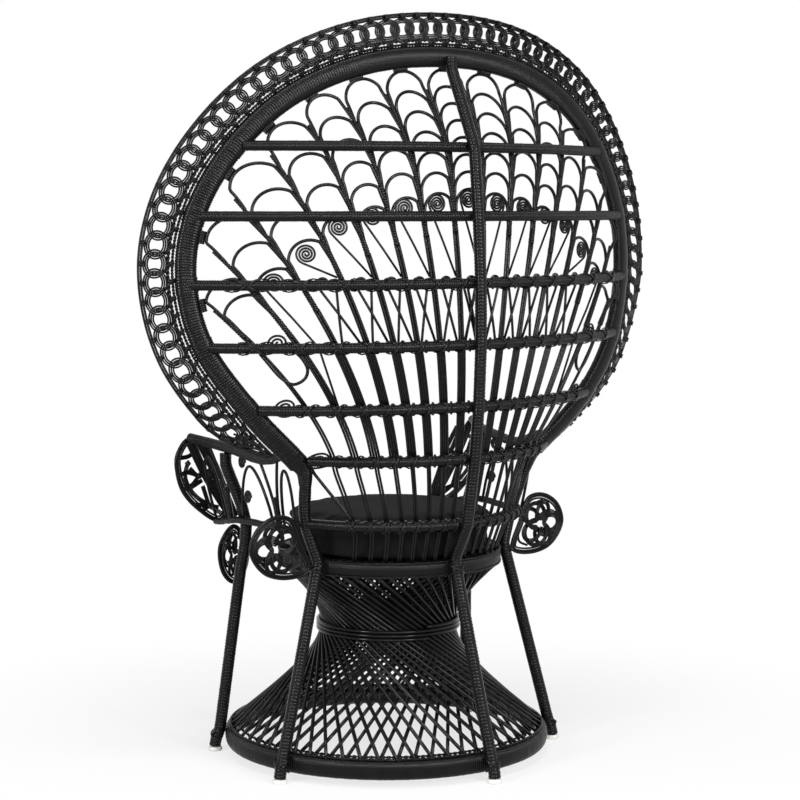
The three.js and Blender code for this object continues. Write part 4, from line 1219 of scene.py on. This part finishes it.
def build_scallops():
    rows = [Weave() for _ in range(SCALLOP_ROWS)]
    ties = Weave()
    for place in range(FAN_STEMS_PER_SIDE):
        sides = (1, -1) if place else (1,)
        for row, foot in enumerate(arch_feet(place)):
            x, z = arch_line(place, foot)
            room = np.array([from_hoop(*spot) for spot in zip(x, z)]) - HOOP_WIDTH / 2
            inset = FAN_INSET * np.clip(room / HOOP_DRAW, 0.1, 1)
            for side in sides:
                rows[min(row, SCALLOP_ROWS - 1)].cane(on_shell(side * x, z, inset), FAN_CANE, 8)
        foot = TOP_FEET[place]
        away = np.hypot(hoop_line[:, 0] - arch_middle(place, foot), hoop_line[:, 2] - foot)
        run = hoop_runs[int(away.argmin())]
        for at in ([run, HOOP_LENGTH - run] if place else [run]):
            runs = np.linspace(at - HOOP_TIE_REACH, at + HOOP_TIE_REACH, 6)
            lift = HOOP_TIE_LIFT * place - HOOP_TIE_FORWARD
            ties.wind(by_hoop(runs, -HOOP_WIDTH / 2 - 1, lift), round_section(HOOP_TIE, 10), HOOP_TIE_PITCH)
    for number, weave in enumerate(rows, 1):
        piece(f"fan_scallop_row_{number}", weave, lacquer, stands_for=[f"fan_scallops_{number}"])
    piece("fan_hoop_ties", ties, lacquer)


# Fan stems: twin slats at the foot, flat bundles, twin canes, and a wound stem among the arches
def stem_line(place, z, beside=0.0):
    """A stem's line: on the fan, and drawn forward to the seat hoop's inner side near its foot."""
    line = on_fan(place, z, FAN_INSET, beside)
    foot_x = float(fan_x(place, SEAT_TOP))
    foot = np.array([foot_x, SEAT_BACK + math.sqrt((SEAT_RADIUS - 9) ** 2 - foot_x ** 2), SEAT_TOP])
    share = np.clip((RIB_HEIGHTS[0] - z) / RIB_RISES[0], 0, 1)[:, None]
    start = on_fan(place, np.array([SEAT_TOP]), FAN_INSET)[0]
    return line + (foot - start) * share ** 1.5


def build_stems():
    second, fourth = RIB_HEIGHTS[1], RIB_HEIGHTS[3]
    for place in stem_places:
        gap = int(place)
        feet = [arch_feet(gap)[0]]
        tops = [TOP_FEET[gap]]
        if gap + 1 < FAN_STEMS_PER_SIDE:
            feet.append(arch_feet(gap + 1)[0])
            tops.append(arch_over(gap + 1, TOP_FEET[gap + 1])[1][-1])
        wound, top = min(feet) - ARCH_LEGS[0], max(tops) - STEM_TIP_FALL
        runs = [
            (SEAT_TOP - 2, second, 2, SLAT_CANE),
            (second, fourth, min(BUNDLE, FAN_STEMS_PER_SIDE + 1 - gap), BUNDLE_CANE),
            (fourth, wound, 2, FAN_CANE),
        ]
        for side, sign in (("left", 1), ("right", -1)):
            weave = Weave()
            for low, high, canes, cane in runs:
                z = np.linspace(low, high, max(int((high - low) / 12), 3))
                for n in range(canes):
                    beside = (n - (canes - 1) / 2) * cane * BESIDE
                    weave.cane(stem_line(sign * place, z, beside), cane, 8)
            path = on_fan(sign * place, np.linspace(wound - 4, top, 24))
            weave.wind(path, round_section(STEM_WOUND, 10), into=round_section(STEM_TIP, 10))
            stand_in(f"fan_stem_{side}_{gap + 1}", "canes", weave)


# Scrolls: a straight tail that runs on into a spiral
def scroll_line(middle, radius, turns, tail):
    """A scroll's line, as distance from the middle of the back and height. Tail gives its first points."""
    middle, tail = np.asarray(middle, float), np.asarray(tail, float)
    reach = middle - tail[-1]
    length = np.hypot(*reach)
    lean = math.atan2(reach[1], reach[0]) - math.asin(radius / length)
    start = lean - np.pi / 2
    angle = start + np.linspace(0, turns * 2 * np.pi, int(turns * 22))
    inwards = radius + (SCROLL_EYE - radius) * np.linspace(0, 1, len(angle))
    spiral = middle + np.stack([np.cos(angle), np.sin(angle)], axis=1) * inwards[:, None]
    return np.vstack([tail, (tail[-1] + spiral[0]) / 2, spiral])


def build_scrolls():
    weave = Weave()
    fifth, fourth, third = RIB_HEIGHTS[4], RIB_HEIGHTS[3], RIB_HEIGHTS[2]

    def both_sides(flat, cane, inset=FAN_INSET, sides=(1, -1)):
        for side in sides:
            weave.cane(on_shell(side * flat[:, 0], flat[:, 1], inset), cane, 8)

    for gap, rise in enumerate(SCROLL_RISES):
        z = SEAT_TOP + rise
        last = gap == len(SCROLL_RISES) - 1
        tail = [(fan_x(gap - 0.5, fifth + 14) + FAN_CANE, fifth + 14)]
        if last:
            tail = [(fan_x(gap + 0.4, third), third), (fan_x(gap, fourth), fourth)]
        spiral = scroll_line((fan_x(gap, z), z), SCROLL_RADIUS, SCROLL_TURNS, tail)
        both_sides(spiral, SCROLL_CANE, sides=(1, -1) if gap else (1,))
        if last:
            continue
        tail = [(fan_x(gap - 0.34, fourth), fourth)]
        middle = (fan_x(gap, fifth + 3), fifth + 3)
        spiral = scroll_line(middle, SMALL_SCROLL_RADIUS, SMALL_SCROLL_TURNS, tail)
        both_sides(spiral, SCROLL_CANE + 0.8)
        levels = np.linspace(fifth, fourth, 12)
        crossing = np.stack([fan_x(gap + np.linspace(-0.31, 0.31, 12), levels), levels], axis=1)
        both_sides(crossing, SCROLL_CANE + 0.8, FAN_INSET + 4)
    for x, rise in LOW_SCROLLS:
        middle = np.array([x, SEAT_TOP + rise])
        tail = [middle - LOW_SCROLL_TAIL]
        both_sides(scroll_line(middle, LOW_SCROLL_RADIUS, LOW_SCROLL_TURNS, tail), SCROLL_CANE)
    for points in (HANGING_LOOP, CORNER_CANE):
        line = smooth([(x, 0, SEAT_TOP + rise) for x, rise in points], 40)
        both_sides(line[:, [0, 2]], FAN_CANE)
    piece("fan_scrolls", weave, lacquer)


# Arms: wound rail, lower rail with arched canes, and a lace of looped canes in front and behind
LACE_FACE = np.array([0, 1.0, 0])


def lace_place(node, outlines):
    """Where the lace's points are measured from, so that its outlines lie where the frame's lace lies."""
    low, high = mm_box(node)
    points = np.vstack(outlines)
    out, rise = (points.min(0) + points.max(0)) / 2
    return (low + high) / 2 - [out, 0, rise]


def in_lace(points, place, count, closed=False):
    return smooth([place + [out, 0, rise] for out, rise in points], count, closed)


def shrunk(outline, inset):
    """An outline drawn in by a distance."""
    inner = np.roll(outline, -1, 0) - np.roll(outline, 1, 0)
    normal = unit(np.cross(inner, LACE_FACE))
    area = (outline[:, 0] * np.roll(outline[:, 2], -1) - np.roll(outline[:, 0], -1) * outline[:, 2]).sum()
    return outline + normal * inset * np.sign(area)


def lace_rim(weave, points, place):
    outline = in_lace(points, place, 72, True)
    weave.cane(outline, LACE_RIM_CANE + 1, 8, closed=True)
    for n in (1, 2):
        weave.cane(shrunk(outline, n * LACE_RIM_CANE * 0.9), LACE_RIM_CANE - 1, 8, closed=True)


def eye(weave, place, eye_place, cane):
    """Small ring of three canes."""
    out, rise, radius = eye_place
    turn = np.linspace(0, 2 * np.pi, 28, endpoint=False)
    for n in range(3):
        reach = radius - n * cane * 0.95
        ring = place + xyz(out + reach * np.cos(turn), 0, rise + reach * np.sin(turn))
        weave.cane(ring + LACE_FACE * 2, cane, 6, closed=True)


def rosette(weave, place, knot, canes):
    """Two knots that wind twice round their middle, over and under themselves between their lobes."""
    out, rise, half_width, half_height = knot
    turn = np.linspace(0, 4 * np.pi, 150)
    for lobes in ROSETTE_LOBES:
        lobe = turn * lobes / 2
        away = ROSETTE_MEAN + ROSETTE_SWING * np.cos(lobe)
        x = out + half_width * away * np.cos(turn)
        z = rise + half_height * away * np.sin(turn)
        line = place + xyz(x, ROSETTE_RISE * np.sin(lobe), z)
        weave.ribbon(line, LACE_FACE, RIBBON_CANE, canes)


def front_lace():
    weave = Weave()
    place = lace_place("arm_front_lace_left", [FRONT_LEAF, FRONT_RING])
    for outline in (FRONT_LEAF, FRONT_RING):
        lace_rim(weave, outline, place)
    for n, bundle in enumerate(FRONT_BUNDLES):
        weave.ribbon(in_lace(bundle, place, 24), LACE_FACE, LACE_STRAND, 3, lift=1.5 - n)
    rosette(weave, place, RING_ROSETTE, 2)
    for n, strand in enumerate(FRONT_STRANDS):
        weave.ribbon(in_lace(strand, place, 14), LACE_FACE, LACE_STRAND - 0.8, 3, lift=-1.6 + 1.6 * (n % 3))
    for out, rise in FRONT_KNOTS:
        weave.tie(place + [out, 0, rise], (0.6, 0, 0.8), 4.5, 4, 2.4)
    eye(weave, place, FRONT_EYE, RIBBON_CANE)
    return weave


def rear_lace():
    weave = Weave()
    place = lace_place("arm_rear_lace_left", [REAR_LACE])
    lace_rim(weave, REAR_LACE, place)
    weave.cane(in_lace(REAR_INNER, place, 30), LACE_RIM_CANE, 8)
    rosette(weave, place, REAR_ROSETTE, 3)
    return weave


def arm_panel(side):
    """Lower rail, and the canes that arch between it and the arm rail."""
    weave = Weave()
    lower = centreline(f"arm_panel_{side}", 1, 40, 4, low_only=14)
    upper = centreline(f"arm_rail_{side}", 1, 40, 4)
    weave.wind(lower, round_section(LOWER_RAIL, 10), facing=(0, 0, 1))

    def between(y, share):
        y, share = np.broadcast_arrays(np.asarray(y, float), share)
        start, finish = (points_at(rail, rail[:, 1], y) for rail in (lower, upper))
        return start + (finish - start) * share[:, None]

    rise = np.sin(np.linspace(0, np.pi, 24)) ** 0.6
    for start, finish, share in PANEL_ARCHES:
        weave.cane(between(np.linspace(start, finish, 24), share * rise), PANEL_CANE, 8)
    for y in PANEL_TULIPS:
        stem = between([y, y], [0, PANEL_TULIP_HEIGHT])
        weave.wind(even(stem, 4), round_section(PANEL_TULIP_STEM, 10), 4, 0.8)
        climb = np.linspace(0, 1, 12)
        for way in (-1, 1):
            spread = way * (3 + PANEL_TULIP_SPREAD * climb ** 2)
            weave.cane(between(y + spread, climb), PANEL_CANE, 8)
    for y, share in PANEL_DISCS:
        turn = np.linspace(0, DISC_TURNS * 2 * np.pi, 56)
        reach = np.linspace(DISC_RADIUS, DISC_EYE, len(turn))
        middle = between([y], [share])[0]
        weave.cane(middle + xyz(0, np.cos(turn) * reach, np.sin(turn) * reach), SCROLL_CANE, 6)
    return weave


def build_arms():
    laces = {"arm_front_lace": front_lace(), "arm_rear_lace": rear_lace()}
    for name, weave in laces.items():
        stand_in(f"{name}_left", "canes", weave)
        stand_in(f"{name}_right", "canes", weave.mirrored())
    for side in ("left", "right"):
        weave = Weave()
        path = centreline(f"arm_rail_{side}", 1, 40, 4)
        weave.wind(path, round_section(ARM_RAIL, 12), POLE_WIND_PITCH, facing=(0, 0, 1))
        stand_in(f"arm_rail_{side}", "winding", weave)
        stand_in(f"arm_panel_{side}", "canes", arm_panel(side))


build_base()
build_pedestal()
build_waist_binding()
build_seat_hoop()
build_seat_deck()
build_cushion()
build_hoop()
build_border()
build_poles()
build_glides()
build_ribs()
build_stems()
build_scallops()
build_scrolls()
build_arms()
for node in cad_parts.values():
    if not node.hide_render:
        node.data.materials.clear()
        node.data.materials.append(lacquer)
